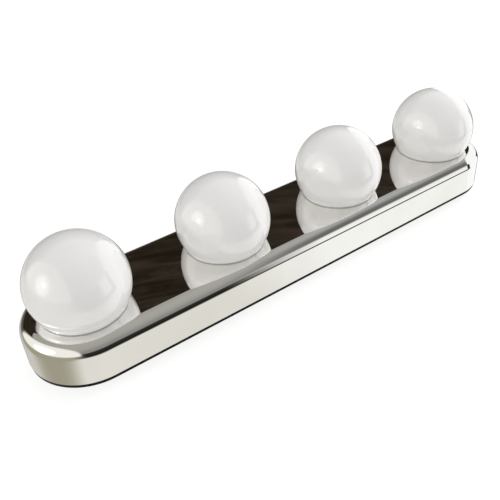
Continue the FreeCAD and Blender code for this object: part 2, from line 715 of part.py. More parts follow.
def make_globe(number, x):
    outside = join(f"globe_outside_{number}",
                   subtract(f"globe_cap_{number}", ball(f"globe_ball_{number}", "globe_radius", "globe_centre"),
                            block(f"globe_cutter_{number}", ("-globe_radius - 1", "globe_radius + 1"),
                                  ("-globe_radius - 1", "globe_radius + 1"), ("0", "face"))),
                   rod(f"globe_neck_{number}", "neck_radius", "shell_wall - neck_gap + 1", "0", "0",
                       "ceiling + neck_gap"))
    hollow = subtract(f"globe_hollow_{number}",
                      ball(f"globe_inner_ball_{number}", "globe_radius - globe_wall", "globe_centre"),
                      block(f"globe_floor_{number}", ("-globe_radius", "globe_radius"),
                            ("-globe_radius", "globe_radius"), ("0", "face + globe_ledge")))
    bore = rod(f"globe_bore_{number}", "neck_bore", "globe_ledge + shell_wall + 1", "0", "0", "ceiling")
    opal = subtract(f"globe_opal_{number}", outside, hollow, bore)
    studs, threads = [], []
    for angle in STUD_ANGLES:
        spot = on_circle("stud_circle", angle)
        studs.append(rod(f"stud_{number}_{angle}", "stud_radius", "stud_height", *spot, "board_top"))
        threads.append(rod(f"stud_thread_{number}_{angle}", "small_screw_radius",
                           "clamp_bottom + clamp_screw_length - ceiling", *spot, "ceiling"))
    globe = subtract(f"globe_{number}", join(f"globe_studded_{number}", opal, *studs), *threads)
    keep(globe, f"globe_{number}")
    move_along_bar(globe, x)


def wire_slot(name, side, low, high):
    """Passage for two wires side by side."""
    reach = "(wire_half_spacing + wire_radius + wire_hole_clearance)"
    y = f"{side}*wire_side"
    room = "(wire_radius + wire_hole_clearance)"
    return block(name, (f"-{reach}", reach), (f"{y} - {room}", f"{y} + {room}"), (low, high))


def make_clamp(number, x):
    disc = rod(f"clamp_disc_{number}", "clamp_radius", "clamp_thickness", "0", "0", "clamp_bottom")
    tools = [wire_slot(f"clamp_slot_{number}_{side}", side, "clamp_bottom - 1", "ceiling + 1")
             for side in ("-1", "1")]
    for angle in STUD_ANGLES:
        spot = on_circle("stud_circle", angle)
        tools.append(taper(f"clamp_sink_{number}_{angle}", "small_head_radius", "small_screw_radius",
                           "small_head_height", *spot, "clamp_bottom"))
        tools.append(rod(f"clamp_hole_{number}_{angle}", "small_screw_radius", "clamp_thickness + 1",
                         *spot, "clamp_bottom"))
    clamp = subtract(f"globe_clamp_{number}", disc, *tools)
    keep(clamp, f"globe_clamp_{number}")
    move_along_bar(clamp, x)


def make_board(number, x):
    disc = rod(f"board_disc_{number}", "board_radius", "board_thickness", "0", "0", "ceiling")
    tools = [wire_slot(f"board_slot_{number}_{side}", side, "ceiling - 1", "board_top + 1")
             for side in ("-1", "1")]
    for angle in STUD_ANGLES:
        tools.append(rod(f"board_hole_{number}_{angle}", "small_screw_radius", "board_thickness + 1",
                         *on_circle("stud_circle", angle), "ceiling"))
    board = subtract(f"led_board_{number}", disc, *tools)
    keep(board, f"led_board_{number}")
    move_along_bar(board, x)
    chips = []
    for place in range(CHIPS_PER_BOARD):
        chip = doc.addObject("Part::Box", f"chip_{number}_{place}")
        bind(chip, Length="chip_length", Width="chip_width", Height="chip_height")
        spot = on_circle("chip_circle", (place + 0.5)*360/CHIPS_PER_BOARD)
        bind(chip, Placement__Base__x=f"{spot[0]} - chip_length/2",
             Placement__Base__y=f"{spot[1]} - chip_width/2", Placement__Base__z="board_top")
        chips.append(chip)
    move_along_bar(group(f"led_chips_{number}", chips), x)


def make_clamp_screws():
    screws = []
    for number, x in GLOBES:
        for angle in STUD_ANGLES:
            across, along = on_circle("stud_circle", angle)
            spot = f"{x} + {across}", along
            head = taper(f"clamp_head_{number}_{angle}", "small_head_radius", "small_screw_radius",
                         "small_head_height", *spot, "clamp_bottom")
            shank = rod(f"clamp_shank_{number}_{angle}", "small_screw_radius", "clamp_screw_length",
                        *spot, "clamp_bottom")
            screws.append(join(f"clamp_screw_{number}_{angle}", head, shank))
    group("clamp_screws", screws)


# ---- cover screws and suction cups ---------------------------------------------------------

def make_cover_screws():
    screws = []
    for number, (x, y) in enumerate(POSTS, 1):
        seat = "cup_standoff + counterbore_depth"
        head = rod(f"cover_screw_head_{number}", "cover_head_radius", "cover_head_height", x, y,
                   f"{seat} - cover_head_height")
        shank = rod(f"cover_screw_shank_{number}", "cover_screw_radius", "cover_screw_length", x, y, seat)
        recess = rod(f"cover_screw_socket_{number}", "cover_screw_radius", "cover_head_height/2", x, y,
                     f"{seat} - cover_head_height")
        screws.append(subtract(f"cover_screw_{number}", join(f"cover_screw_solid_{number}", head, shank),
                               recess))
    group("cover_screws", screws)


def make_suction_cup(name, side):
    cup = new_body(f"suction_cup_{name}")
    profile = sketch(cup, "profile", "XZ_Plane")
    corners = (("0", "cup_hollow"), ("cup_radius - cup_land", "0"), ("cup_radius", "0"),
               ("cup_radius", "cup_edge"), ("cup_shoulder", "cup_dome"), ("cup_neck", "cup_dome"),
               ("cup_neck", "cup_neck_top"), ("cup_button", "cup_neck_top"),
               ("cup_button", "cup_top - cup_bevel"), ("cup_button - cup_bevel", "cup_top"),
               ("0", "cup_top"))
    points = [FreeCAD.Vector(size(x), size(z), 0) for x, z in corners]
    rim, apex = points[1], points[0]
    ball_radius = "((cup_radius - cup_land)^2 + cup_hollow^2)/(2*cup_hollow)"
    centre = FreeCAD.Vector(0, size(f"cup_hollow - {ball_radius}"), 0)
    lean = math.atan2(rim.y - centre.y, rim.x)
    circle = Part.Circle(centre, FreeCAD.Vector(0, 0, 1), size(ball_radius))
    hollow = profile.addGeometry(Part.ArcOfCircle(circle, lean, math.pi/2))
    sides = [profile.addGeometry(Part.LineSegment(*ends)) for ends in zip(points[1:], points[2:])]
    sides.append(profile.addGeometry(Part.LineSegment(points[-1], apex)))
    for line, after in zip(sides, sides[1:]):
        profile.addConstraint(Sketcher.Constraint("Coincident", line, 2, after, 1))
    profile.addConstraint(Sketcher.Constraint("Coincident", sides[-1], 2, hollow, 2))
    profile.addConstraint(Sketcher.Constraint("Coincident", hollow, 1, sides[0], 1))
    for line, (x, z) in zip(sides, corners[1:]):
        hold_point(profile, line, 1, x, z)
    hold_point(profile, sides[-1], 2, *corners[0])
    hold(profile, "DistanceX", (-1, 1, hollow, 3), "0")
    revolve(cup, profile)
    move_along_bar(cup, f"{side}*cup_offset")


# ---- wires ---------------------------------------------------------------------------------

def wire(label, points):
    """A round wire through the points, with an arc of the sheet's bend radius at each corner."""
    bend = size("wire_bend")
    corners = [FreeCAD.Vector(*(size(text) for text in point)) for point in points]
    edges = []
    start = corners[0]
    for before, corner, after in zip(corners, corners[1:], corners[2:]):
        back = (before - corner).normalize()
        ahead = (after - corner).normalize()
        half_turn = (math.pi - back.getAngle(ahead))/2
        trim = bend*math.tan(half_turn)
        middle = (back + ahead).normalize()*(bend/math.cos(half_turn) - bend)
        first, last = corner + back*trim, corner + ahead*trim
        edges.append(Part.LineSegment(start, first).toShape())
        edges.append(Part.Arc(first, corner + middle, last).toShape())
        start = last
    edges.append(Part.LineSegment(start, corners[-1]).toShape())
    path = Part.Wire(edges)
    radius = size("wire_radius")
    ring = Part.Wire(Part.makeCircle(radius, corners[0], corners[1] - corners[0]))
    tube = path.makePipeShell([ring], True, True)
    if abs(tube.Volume/(math.pi*radius**2*path.Length) - 1) > 0.01:
        raise RuntimeError(label + " is not a full tube")
    solid = doc.addObject("Part::Feature", label)
    solid.Shape = tube
    keep(solid, label)


def make_wires():
    for colour, side in (("black", "-1"), ("red", "1")):
        y = f"{side}*wire_side"
        for (number, x), (_, next_x) in zip(GLOBES, GLOBES[1:]):
            start, end = f"{x} + wire_half_spacing", f"{next_x} - wire_half_spacing"
            wire(f"link_wire_{colour}_{number}",
                 ((start, y, "wire_top"), (start, y, "wire_level"),
                  (end, y, "wire_level"), (end, y, "wire_top")))
    level = "axis_height"
    last = GLOBES[-1][1] + " + wire_half_spacing"
    wire("lead_battery_to_board",
         (("tab_end", "-cell_offset", level), ("tab_end + lead_run", "-cell_offset", level),
          ("tab_end + lead_run + lead_cross", "-wire_side", level), (last, "-wire_side", level),
          (last, "-wire_side", "wire_top")))
    first_pin, second_pin = "switch_offset - pin_spacing", "switch_offset"
    wire("lead_battery_to_switch",
         (("tab_end", "cell_offset", level), (first_pin, "cell_offset", level),
          (first_pin, "pin_end", level)))
    wire("lead_switch_to_board",
         ((second_pin, "pin_end", level), (second_pin, "cell_offset + lead_step", level),
          (f"{second_pin} + lead_run", "cell_offset + lead_step", level),
          (f"{second_pin} + lead_run + lead_cross", "wire_side", level),
          (last, "wire_side", level), (last, "wire_side", "wire_top")))


def export_all():
    """Check every object of the document, then write one STEP file for each sub-part."""
    doc.recompute()
    for thing in doc.Objects:
        if "Invalid" in thing.State or "Error" in thing.State:
            raise RuntimeError(f"{thing.Name} failed: {thing.State}")
    labels = [thing.Label for thing in sub_parts]
    if len(set(labels)) != len(labels):
        raise RuntimeError("two sub-parts share a label")
    for thing in sub_parts:
        shape = thing.Shape
        if shape.isNull() or not shape.isValid() or not shape.Solids:
            raise RuntimeError(f"{thing.Label} has no valid solid")
    os.makedirs("parts", exist_ok=True)
    for thing in sub_parts:
        thing.Shape.exportStep(f"parts/{thing.Label}.step")
        solids = len(thing.Shape.Solids)
        print(f"{thing.Label}: {solids} solid(s), {thing.Shape.Volume:.1f} mm3")


make_front_shell()
make_back_cover()
make_battery_door()
make_cells()
make_contacts()
make_switch()
for globe_number, globe_x in GLOBES:
    make_globe(globe_number, globe_x)
    make_clamp(globe_number, globe_x)
    make_board(globe_number, globe_x)
make_clamp_screws()
make_cover_screws()
for end_name, end_side in ENDS:
    make_suction_cup(end_name, end_side)
make_wires()
export_all()
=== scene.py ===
"""Looks for a vanity light bar: a chrome shell with four opal globes, a black back with a
battery door, and two suction cups. Everything is in metres, in the frame of the CAD model."""

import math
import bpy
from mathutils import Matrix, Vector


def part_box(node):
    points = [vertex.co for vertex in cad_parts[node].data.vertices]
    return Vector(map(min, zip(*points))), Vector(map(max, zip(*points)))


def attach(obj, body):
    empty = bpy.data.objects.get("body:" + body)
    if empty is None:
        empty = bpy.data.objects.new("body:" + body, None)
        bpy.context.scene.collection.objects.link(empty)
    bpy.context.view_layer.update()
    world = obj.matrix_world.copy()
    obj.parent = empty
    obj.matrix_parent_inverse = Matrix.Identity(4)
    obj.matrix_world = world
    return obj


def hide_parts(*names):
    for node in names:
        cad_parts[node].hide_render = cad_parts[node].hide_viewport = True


bl_info = {
    "name": "Vanity Light Bar",
    "version": (1, 0, 0),
    "blender": (4, 5, 0),
    "location": "3D View > Sidebar > Light Bar",
    "description": "Builds the looks of a chrome light bar with four opal globes",
    "category": "Add Mesh",
}

import bmesh
import bpy
from mathutils import Euler, Matrix, Vector

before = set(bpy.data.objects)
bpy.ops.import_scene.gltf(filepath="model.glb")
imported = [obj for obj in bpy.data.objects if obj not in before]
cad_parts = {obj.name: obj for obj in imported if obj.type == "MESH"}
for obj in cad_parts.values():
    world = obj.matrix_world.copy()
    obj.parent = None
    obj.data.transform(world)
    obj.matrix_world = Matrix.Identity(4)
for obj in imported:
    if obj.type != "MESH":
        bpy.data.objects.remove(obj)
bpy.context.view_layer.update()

MM = 0.001
BAR, DOOR, KNOB = "light_bar", "door", "knob"
GLOBES = (1, 2, 3, 4)
UPRIGHT = (0, 0, 0)
SCREW_HEAD = 2.1 * MM


def low(node, axis):
    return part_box(node)[0][axis]


def high(node, axis):
    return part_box(node)[1][axis]


def middle(node, axis):
    return (low(node, axis) + high(node, axis)) / 2


# ---- sizes and colours ----

def length(label, metres, about):
    return bpy.props.FloatProperty(name=label, description=about, default=metres, min=0,
                                   unit="LENGTH", precision=5)


def angle(label, degrees, about):
    return bpy.props.FloatProperty(name=label, description=about, default=math.radians(degrees),
                                   subtype="ANGLE")


def amount(label, value, about):
    return bpy.props.FloatProperty(name=label, description=about, default=value, min=0)


def count(label, number, about):
    return bpy.props.IntProperty(name=label, description=about, default=number, min=6)


def tint(label, rgb, about):
    return bpy.props.FloatVectorProperty(name=label, description=about, default=rgb, min=0, max=1,
                                         size=3, subtype="COLOR")


def group(kind, label, about):
    return bpy.props.PointerProperty(type=kind, name=label, description=about)


class ShellSizes(bpy.types.PropertyGroup):
    fillet: length("Edge radius", 6.5 * MM, "Rounding between the mirror face and the side")
    wall: length("Wall", 2 * MM, "Wall thickness of the shell")
    hole: length("Globe hole", 20 * MM, "Radius of the hole that a globe's neck goes through")
    post: length("Screw post", 2.8 * MM, "Outside radius of a screw post")
    pilot: length("Pilot hole", 1.2 * MM, "Radius of the hole up a screw post")
    end_steps: count("End steps", 72, "Facets round each rounded end")
    fillet_steps: count("Edge steps", 14, "Facets across the rounded edge")


class GlobeSizes(bpy.types.PropertyGroup):
    wall: length("Opal wall", 1.6 * MM, "Wall thickness of a globe")
    neck: length("Neck", 19.8 * MM, "Outside radius of a globe's neck")
    bore: length("Neck bore", 17.8 * MM, "Inside radius of a globe's neck")
    ledge: length("Ledge", 1 * MM, "Solid base of a globe above the face")
    tuck: length("Tucked rim", 0.55 * MM, "Rounding where a globe meets the face")
    turns: count("Turns", 112, "Facets round a globe")


class SmallPartSizes(bpy.types.PropertyGroup):
    moulded_edge: length("Moulded edge", 0.22 * MM, "Rounding on the edges of black mouldings")
    cell_edge: length("Cell edge", 0.5 * MM, "Rolled edge of a cell's can")
    knob_edge: length("Knob edge", 0.12 * MM, "Rounding on the edges of the switch knob")
    recess: length("Cross recess", 0.55 * MM, "Width of the cross recess in a screw")
    pad_edge: length("Pad edge", 0.3 * MM, "How far the foam pad's edges pull in")


class FinishColours(bpy.types.PropertyGroup):
    chrome: tint("Chrome", (0.9, 0.895, 0.88), "Plated shell")
    opal: tint("Opal", (0.87, 0.865, 0.86), "Globes")
    black: tint("Black plastic", (0.009, 0.009, 0.01), "Back cover and battery door")
    vinyl: tint("Clear vinyl", (0.86, 0.9, 0.92), "Suction cups")
    jacket: tint("Cell jacket", (0.02, 0.05, 0.035), "Battery cells")
    band: tint("Cell band", (0.62, 0.27, 0.11), "Band at the positive end of a cell")


class StageSettings(bpy.types.PropertyGroup):
    floor: tint("Floor", (0.25, 0.25, 0.25), "Plain pale floor")
    floor_glow: amount("Floor glow", 0.88, "Light that comes up through the floor")
    dome: amount("Soft dome", 0.66, "Soft light from all round")
    lens: amount("Lens", 45.137, "Focal length in millimetres")
    heading: angle("Heading", -34.125, "Turn of the camera about the vertical")
    pitch: angle("Pitch", 34.982, "How far below level the camera looks")
    roll: angle("Roll", 3.885, "Lean of the camera")
    place: bpy.props.FloatVectorProperty(
        name="Camera place", default=(-0.17879, -0.23413, 0.2175), size=3, unit="LENGTH",
        description="Where the camera stands")
    shift: bpy.props.FloatVectorProperty(
        name="Lens shift", default=(-0.012, -0.02), size=2,
        description="Sideways and upward shift of the lens")


class LightBarSettings(bpy.types.PropertyGroup):
    shell: group(ShellSizes, "Shell", "Chrome shell")
    globe: group(GlobeSizes, "Globes", "Opal globes")
    small: group(SmallPartSizes, "Small parts", "Mouldings, cells and screws")
    colour: group(FinishColours, "Colours", "Finishes")
    stage: group(StageSettings, "Stage", "Floor, light and camera")


def settings():
    return bpy.context.scene.light_bar


def added(name, data):
    """A new object that is linked to the scene."""
    item = bpy.data.objects.new(name, data)
    bpy.context.scene.collection.objects.link(item)
    return item


# ---- node graphs ----

class Graph:
    """Adds nodes to a tree; an input takes a number, a colour or another node's output."""

    def __init__(self, tree):
        self.tree = tree

    def add(self, kind, inputs=None, **properties):
        node = self.tree.nodes.new(kind)
        for name, value in properties.items():
            setattr(node, name, value)
        for key, value in (inputs or {}).items():
            if isinstance(value, bpy.types.NodeSocket):
                self.tree.links.new(value, node.inputs[key])
            else:
                node.inputs[key].default_value = value
        return node

    def math(self, operation, first, second=0.0):
        kind = "ShaderNodeMath"
        return self.add(kind, {0: first, 1: second}, operation=operation).outputs[0]

    def xyz(self, x, y, z):
        return self.add("ShaderNodeCombineXYZ", {0: x, 1: y, 2: z}).outputs[0]

    def ramp(self, factor, stops, interpolation="LINEAR"):
        node = self.add("ShaderNodeValToRGB", {0: factor})
        node.color_ramp.interpolation = interpolation
        elements = node.color_ramp.elements
        while len(elements) < len(stops):
            elements.new(1)
        for element, (position, rgb) in zip(elements, stops):
            element.position = position
            element.color = (*rgb, 1)
        return node.outputs[0]


def scaled(rgb, factor):
    return tuple(min(1.0, channel * factor) for channel in rgb)


class Finish(Graph):
    """A material built on one Principled shader, with patterns laid on Object coordinates."""

    def __init__(self, name, constants=None):
        self.material = bpy.data.materials.new(name)
        self.material.use_nodes = True
        super().__init__(self.material.node_tree)
        self.shader = self.tree.nodes["Principled BSDF"]
        for label, value in (constants or {}).items():
            self.shader.inputs[label].default_value = value
        self.place = self.add("ShaderNodeTexCoord").outputs["Object"]

    def feed(self, label, socket):
        self.tree.links.new(socket, self.shader.inputs[label])

    def noise(self, scale, detail=3.0, roughness=0.55, stretch=(1, 1, 1)):
        laid = self.add("ShaderNodeMapping", {"Vector": self.place, "Scale": stretch}).outputs[0]
        return self.add("ShaderNodeTexNoise", {"Vector": laid, "Scale": scale, "Detail": detail,
                                               "Roughness": roughness}).outputs["Fac"]

    def colour(self, factor, *stops, interpolation="LINEAR"):
        self.feed("Base Color", self.ramp(factor, stops, interpolation))

    def mottle(self, factor, rgb, least, most, top=0.7):
        """Let a noise factor move the colour between two shades of it."""
        self.colour(factor, (0.3, scaled(rgb, least)), (top, scaled(rgb, most)))

    def roughness(self, factor, least, most):
        """Let a noise factor move the roughness between two values."""
        node = self.add("ShaderNodeMapRange", {"Value": factor, "From Min": 0.3, "From Max": 0.7,
                                               "To Min": least, "To Max": most})
        self.feed("Roughness", node.outputs[0])

    def bump(self, height, depth, strength=1.0):
        node = self.add("ShaderNodeBump", {"Height": height, "Distance": depth,
                                           "Strength": strength})
        self.feed("Normal", node.outputs[0])


def chrome_finish():
    """Bright plating over a moulding: a faint swirl in the polish and the slightest waviness."""
    finish = Finish("plated_chrome", {"Metallic": 1.0})
    finish.mottle(finish.noise(35, 4), settings().colour.chrome, 0.96, 1.03)
    finish.roughness(finish.noise(260, 5, 0.6, (1, 4, 4)), 0.012, 0.035)
    finish.bump(finish.noise(30, 1.5), 0.000016)
    return finish.material


def opal_finish():
    """Glossy milky plastic that lets light through, with a painted glow and painted shade in the
    seam at its foot.
    """
    rgb = settings().colour.opal
    # The emission is a painted glow: it lifts the globes' own shading, and no lamp inside them is
    # lit.
    finish = Finish("opal_plastic", {
        "IOR": 1.49, "Subsurface Weight": 0.3, "Subsurface Scale": 0.004,
        "Subsurface Radius": (1.0, 0.95, 0.9), "Coat Weight": 1.0, "Coat Roughness": 0.03,
        "Emission Color": (1.0, 0.975, 0.94, 1), "Emission Strength": 0.24})
    body = finish.ramp(finish.noise(42, 3), ((0.3, scaled(rgb, 0.985)), (0.7, scaled(rgb, 1.015))))
    face = high("front_shell", 2)
    height = finish.add("ShaderNodeSeparateXYZ", {0: finish.place}).outputs[2]
    # Painted shade: the base colour falls to a thin dark grey line in the seam where the globe sits
    # on the face.
    seam_painted_shade = finish.add("ShaderNodeMapRange", {
        "Value": height, "From Min": face + 0.2 * MM, "From Max": face + 0.8 * MM,
        "To Min": 0.08, "To Max": 1.0}).outputs[0]
    shaded = finish.add("ShaderNodeVectorMath", {0: body, "Scale": seam_painted_shade},
                        operation="SCALE").outputs[0]
    finish.feed("Base Color", shaded)
    finish.roughness(finish.noise(300, 4), 0.09, 0.15)
    finish.bump(finish.noise(55, 2), 0.00002)
    return finish.material


def spark_plastic(name, rgb, low_roughness=0.45, high_roughness=0.68):
    """Moulded plastic with a fine spark-eroded texture."""
    finish = Finish(name, {"Specular IOR Level": 0.25})
    finish.mottle(finish.noise(60, 5), rgb, 0.75, 1.5, 0.72)
    finish.roughness(finish.noise(900, 3), low_roughness, high_roughness)
    finish.bump(finish.noise(2300, 3, 0.7), 0.00005, 0.8)
    return finish.material


def vinyl_finish():
    finish = Finish("clear_vinyl", {"IOR": 1.46, "Transmission Weight": 0.72})
    finish.mottle(finish.noise(70, 3), settings().colour.vinyl, 0.96, 1.03)
    finish.roughness(finish.noise(240, 4), 0.12, 0.2)
    finish.bump(finish.noise(60, 2), 0.00002, 0.5)
    return finish.material


def metal_finish(name, rgb, stretch=(1, 14, 14), low_roughness=0.16, high_roughness=0.36):
    """Rolled or turned metal with fine lines along one way."""
    finish = Finish(name, {"Metallic": 1.0})
    grain = finish.noise(420, 6, 0.65, stretch)
    finish.mottle(grain, rgb, 0.82, 1.1)
    finish.roughness(grain, low_roughness, high_roughness)
    finish.bump(grain, 0.00002, 0.6)
    return finish.material


def board_finish():
    """White solder mask with the copper tracks showing through as a faint raised net."""
    finish = Finish("board_mask")
    cells = finish.add("ShaderNodeTexVoronoi", {"Vector": finish.place, "Scale": 330.0},
                       feature="DISTANCE_TO_EDGE").outputs["Distance"]
    finish.colour(cells, (0.02, (0.62, 0.66, 0.6)), (0.09, (0.82, 0.83, 0.8)))
    finish.roughness(finish.noise(800, 3), 0.25, 0.42)
    finish.bump(cells, 0.00004, 0.5)
    return finish.material


def led_finish():
    """Phosphor gel in a pale package, a little uneven."""
    finish = Finish("led_phosphor")
    finish.colour(finish.noise(700, 4), (0.3, (0.83, 0.66, 0.16)), (0.7, (0.9, 0.8, 0.34)))
    finish.roughness(finish.noise(900, 2), 0.2, 0.4)
    finish.bump(finish.noise(1400, 2), 0.00003, 0.5)
    return finish.material


def wire_finish(name, rgb):
    finish = Finish(name, {"IOR": 1.5})
    finish.mottle(finish.noise(160, 4), rgb, 0.8, 1.15)
    finish.roughness(finish.noise(500, 3), 0.32, 0.5)
    finish.bump(finish.noise(700, 2, stretch=(0.3, 1, 1)), 0.00003, 0.5)
    return finish.material


def foam_finish():
    finish = Finish("closed_cell_foam")
    cells = finish.add("ShaderNodeTexVoronoi", {"Vector": finish.place, "Scale": 1600.0},
                       feature="F1").outputs["Distance"]
    finish.colour(cells, (0.1, (0.05, 0.05, 0.052)), (0.8, (0.016, 0.016, 0.017)))
    finish.roughness(finish.noise(900, 3), 0.8, 0.96)
    finish.bump(cells, 0.00015, 0.8)
    return finish.material


def cell_finish():
    """A printed jacket with a copper band at one end, bare steel at the rims."""
    colour = settings().colour
    finish = Finish("cell_jacket")
    along = finish.add("ShaderNodeAttribute", attribute_name="band").outputs["Fac"]
    steel = (0.62, 0.61, 0.58)
    finish.colour(along, (0.0, steel), (0.1, colour.jacket), (0.7, colour.band), (0.93, steel),
                  interpolation="CONSTANT")
    shares = ((0.0, 1.0), (0.1, 0.25), (0.7, 0.85), (0.93, 1.0))
    bare = finish.ramp(along, [(start, (share,) * 3) for start, share in shares], "CONSTANT")
    finish.feed("Metallic", bare)
    finish.roughness(finish.noise(520, 4, 0.6, (0.2, 3, 3)), 0.2, 0.36)
    finish.bump(finish.noise(600, 3), 0.00001, 0.5)
    return finish.material


# ---- Geometry Nodes trees ----

class ShapeTree(Graph):
    """A Geometry Nodes tree with named inputs for its sizes."""

    def __init__(self, name, sizes):
        tree = bpy.data.node_groups.new(name, "GeometryNodeTree")
        for label, value in {"Geometry": None, **sizes, "Material": None}.items():
            kind = {"Geometry": "NodeSocketGeometry", "Material": "NodeSocketMaterial"}.get(
                label, "NodeSocketInt" if isinstance(value, int) else "NodeSocketFloat")
            socket = tree.interface.new_socket(label, in_out="INPUT", socket_type=kind)
            if value is not None:
                socket.default_value = value
        tree.interface.new_socket("Geometry", in_out="OUTPUT", socket_type="NodeSocketGeometry")
        super().__init__(tree)
        self.entry = self.add("NodeGroupInput").outputs

    def join(self, *geometry):
        node = self.add("GeometryNodeJoinGeometry")
        for part in reversed(geometry):
            self.tree.links.new(part, node.inputs[0])
        return node.outputs[0]

    def attribute(self, name, kind):
        return self.add("GeometryNodeInputNamedAttribute", {"Name": name},
                        data_type=kind).outputs[0]

    def circle(self, radius, points):
        return self.add("GeometryNodeCurvePrimitiveCircle",
                        {"Radius": radius, "Resolution": points}).outputs[0]

    def stadium(self, radius, centre, points):
        """A closed curve: the first half of its points go round one end, the rest the other."""
        half = self.math("DIVIDE", self.math("SUBTRACT", points, 2.0), 2.0)
        index = self.add("GeometryNodeInputIndex").outputs[0]
        second = self.math("GREATER_THAN", index, self.math("ADD", half, 0.5))
        step = self.math("DIVIDE", self.math("SUBTRACT", index, second), half)
        turn = self.math("MULTIPLY", self.math("SUBTRACT", step, 0.5), math.pi)
        side = self.math("SUBTRACT", 1.0, self.math("MULTIPLY", second, 2.0))
        x = self.math("ADD", self.math("MULTIPLY", centre, side),
                      self.math("MULTIPLY", radius, self.math("COSINE", turn)))
        y = self.math("MULTIPLY", radius, self.math("SINE", turn))
        return self.add("GeometryNodeSetPosition", {
            "Geometry": self.circle(radius, points), "Position": self.xyz(x, y, 0.0)}).outputs[0]

    def moved(self, geometry, x=0.0, y=0.0, z=0.0, turn=(0.0, 0.0, 0.0)):
        return self.add("GeometryNodeTransform",
                        {"Geometry": geometry, "Translation": self.xyz(x, y, z),
                         "Rotation": turn}).outputs[0]

    def merged(self, geometry, distance=1e-6):
        return self.add("GeometryNodeMergeByDistance",
                        {"Geometry": geometry, "Distance": distance}).outputs[0]

    def swept(self, section, path):
        """Sweep a section, drawn with x outwards and -y up, round a path."""
        curve = self.add("GeometryNodeMeshToCurve", {0: section}).outputs[0]
        return self.add("GeometryNodeCurveToMesh",
                        {"Curve": path, "Profile Curve": curve}).outputs[0]

    def drilled(self, body, *tools):
        node = self.add("GeometryNodeMeshBoolean", {"Mesh 1": body}, operation="DIFFERENCE",
                        solver="EXACT")
        for tool in tools:
            self.tree.links.new(tool, node.inputs["Mesh 2"])
        return node.outputs[0]

    def end(self, geometry):
        real = self.add("GeometryNodeRealizeInstances", {0: geometry}).outputs[0]
        coloured = self.add("GeometryNodeSetMaterial",
                            {"Geometry": real, "Material": self.entry["Material"]}).outputs[0]
        self.add("NodeGroupOutput", {0: coloured})
        return self


def spun_tree(recess=False):
    """Spins a section about Z and sets a copy at each of the host's loose points."""
    sizes = {"Path radius": 1.0, "Facets": 34}
    if recess:
        sizes |= {"Recess width": 0.0006, "Recess span": 0.002, "Recess depth": 0.001,
                  "Recess level": 0.0}
    tree = ShapeTree("spun_part_with_recess" if recess else "spun_part", sizes)
    entry = tree.entry
    parted = tree.add("GeometryNodeSeparateGeometry", {
        "Geometry": entry["Geometry"],
        "Selection": tree.attribute("is_place", "BOOLEAN")}).outputs
    body = tree.swept(parted["Inverted"], tree.circle(entry["Path radius"], entry["Facets"]))
    body = tree.merged(body)
    if recess:
        for turn in (0.0, math.pi / 2):
            bar = tree.add("GeometryNodeMeshCube", {"Size": tree.xyz(
                entry["Recess span"], entry["Recess width"], entry["Recess depth"])}).outputs[0]
            body = tree.drilled(body, tree.moved(bar, z=entry["Recess level"],
                                                 turn=(0.0, 0.0, turn)))
    turned = tree.add("FunctionNodeEulerToRotation",
                      {0: tree.attribute("turn", "FLOAT_VECTOR")}).outputs[0]
    copies = tree.add("GeometryNodeInstanceOnPoints", {
        "Points": parted["Selection"], "Instance": body, "Rotation": turned}).outputs[0]
    return tree.end(copies)


def shell_tree():
    """Sweeps the shell's side and rounded edge round the stadium, and fills its pierced face."""
    tree = ShapeTree("chrome_shell_sweep", {
        "End centre": 0.12, "Face half width": 0.02, "Face level": 0.03, "Ceiling level": 0.028,
        "Hole radius": 0.02, "Hole pitch": 0.08, "Hole count": 4, "Ring points": 98,
        "Window centre": 0.07, "Window level": 0.015, "Window length": 0.009,
        "Window height": 0.005, "Window wall": 0.027})
    entry = tree.entry
    path = tree.stadium(entry["Face half width"], entry["End centre"], entry["Ring points"])
    side = tree.swept(entry["Geometry"], path)
    gaps = tree.math("SUBTRACT", entry["Hole count"], 1.0)
    span = tree.math("MULTIPLY", entry["Hole pitch"], gaps)
    start = tree.xyz(tree.math("MULTIPLY", span, -0.5), 0.0, 0.0)
    row = tree.add("GeometryNodeMeshLine", {
        "Count": entry["Hole count"], "Start Location": start,
        "Offset": tree.xyz(entry["Hole pitch"], 0.0, 0.0)}).outputs[0]
    rim = tree.circle(entry["Hole radius"], entry["Ring points"])
    holes = tree.add("GeometryNodeInstanceOnPoints", {"Points": row, "Instance": rim}).outputs[0]
    holes = tree.add("GeometryNodeRealizeInstances", {0: holes}).outputs[0]
    plate = tree.add("GeometryNodeFillCurve", {"Curve": tree.join(path, holes)},
                     mode="TRIANGLES").outputs[0]
    face = tree.moved(plate, z=entry["Face level"])
    ceiling = tree.add("GeometryNodeFlipFaces",
                       {"Mesh": tree.moved(plate, z=entry["Ceiling level"])}).outputs[0]
    drop = tree.add("GeometryNodeCurvePrimitiveLine", {
        "Start": tree.xyz(0.0, tree.math("MULTIPLY", entry["Ceiling level"], -1.0), 0.0),
        "End": tree.xyz(0.0, tree.math("MULTIPLY", entry["Face level"], -1.0), 0.0)}).outputs[0]
    bores = tree.add("GeometryNodeCurveToMesh", {"Curve": holes, "Profile Curve": drop}).outputs[0]
    shell = tree.merged(tree.join(side, face, ceiling, bores), 2e-6)
    window = tree.add("GeometryNodeMeshCube", {"Size": tree.xyz(
        entry["Window length"], 0.006, entry["Window height"])}).outputs[0]
    window = tree.moved(window, entry["Window centre"], entry["Window wall"], entry["Window level"])
    return tree.end(tree.drilled(shell, window))


# ---- meshes ----

def arc(x, z, radius, first, last, steps):
    """Points on an arc, with the angles in degrees from +x towards +z."""
    angles = (math.radians(first + (last - first) * step / steps) for step in range(steps + 1))
    return [(x + radius * math.cos(angle), z + radius * math.sin(angle)) for angle in angles]


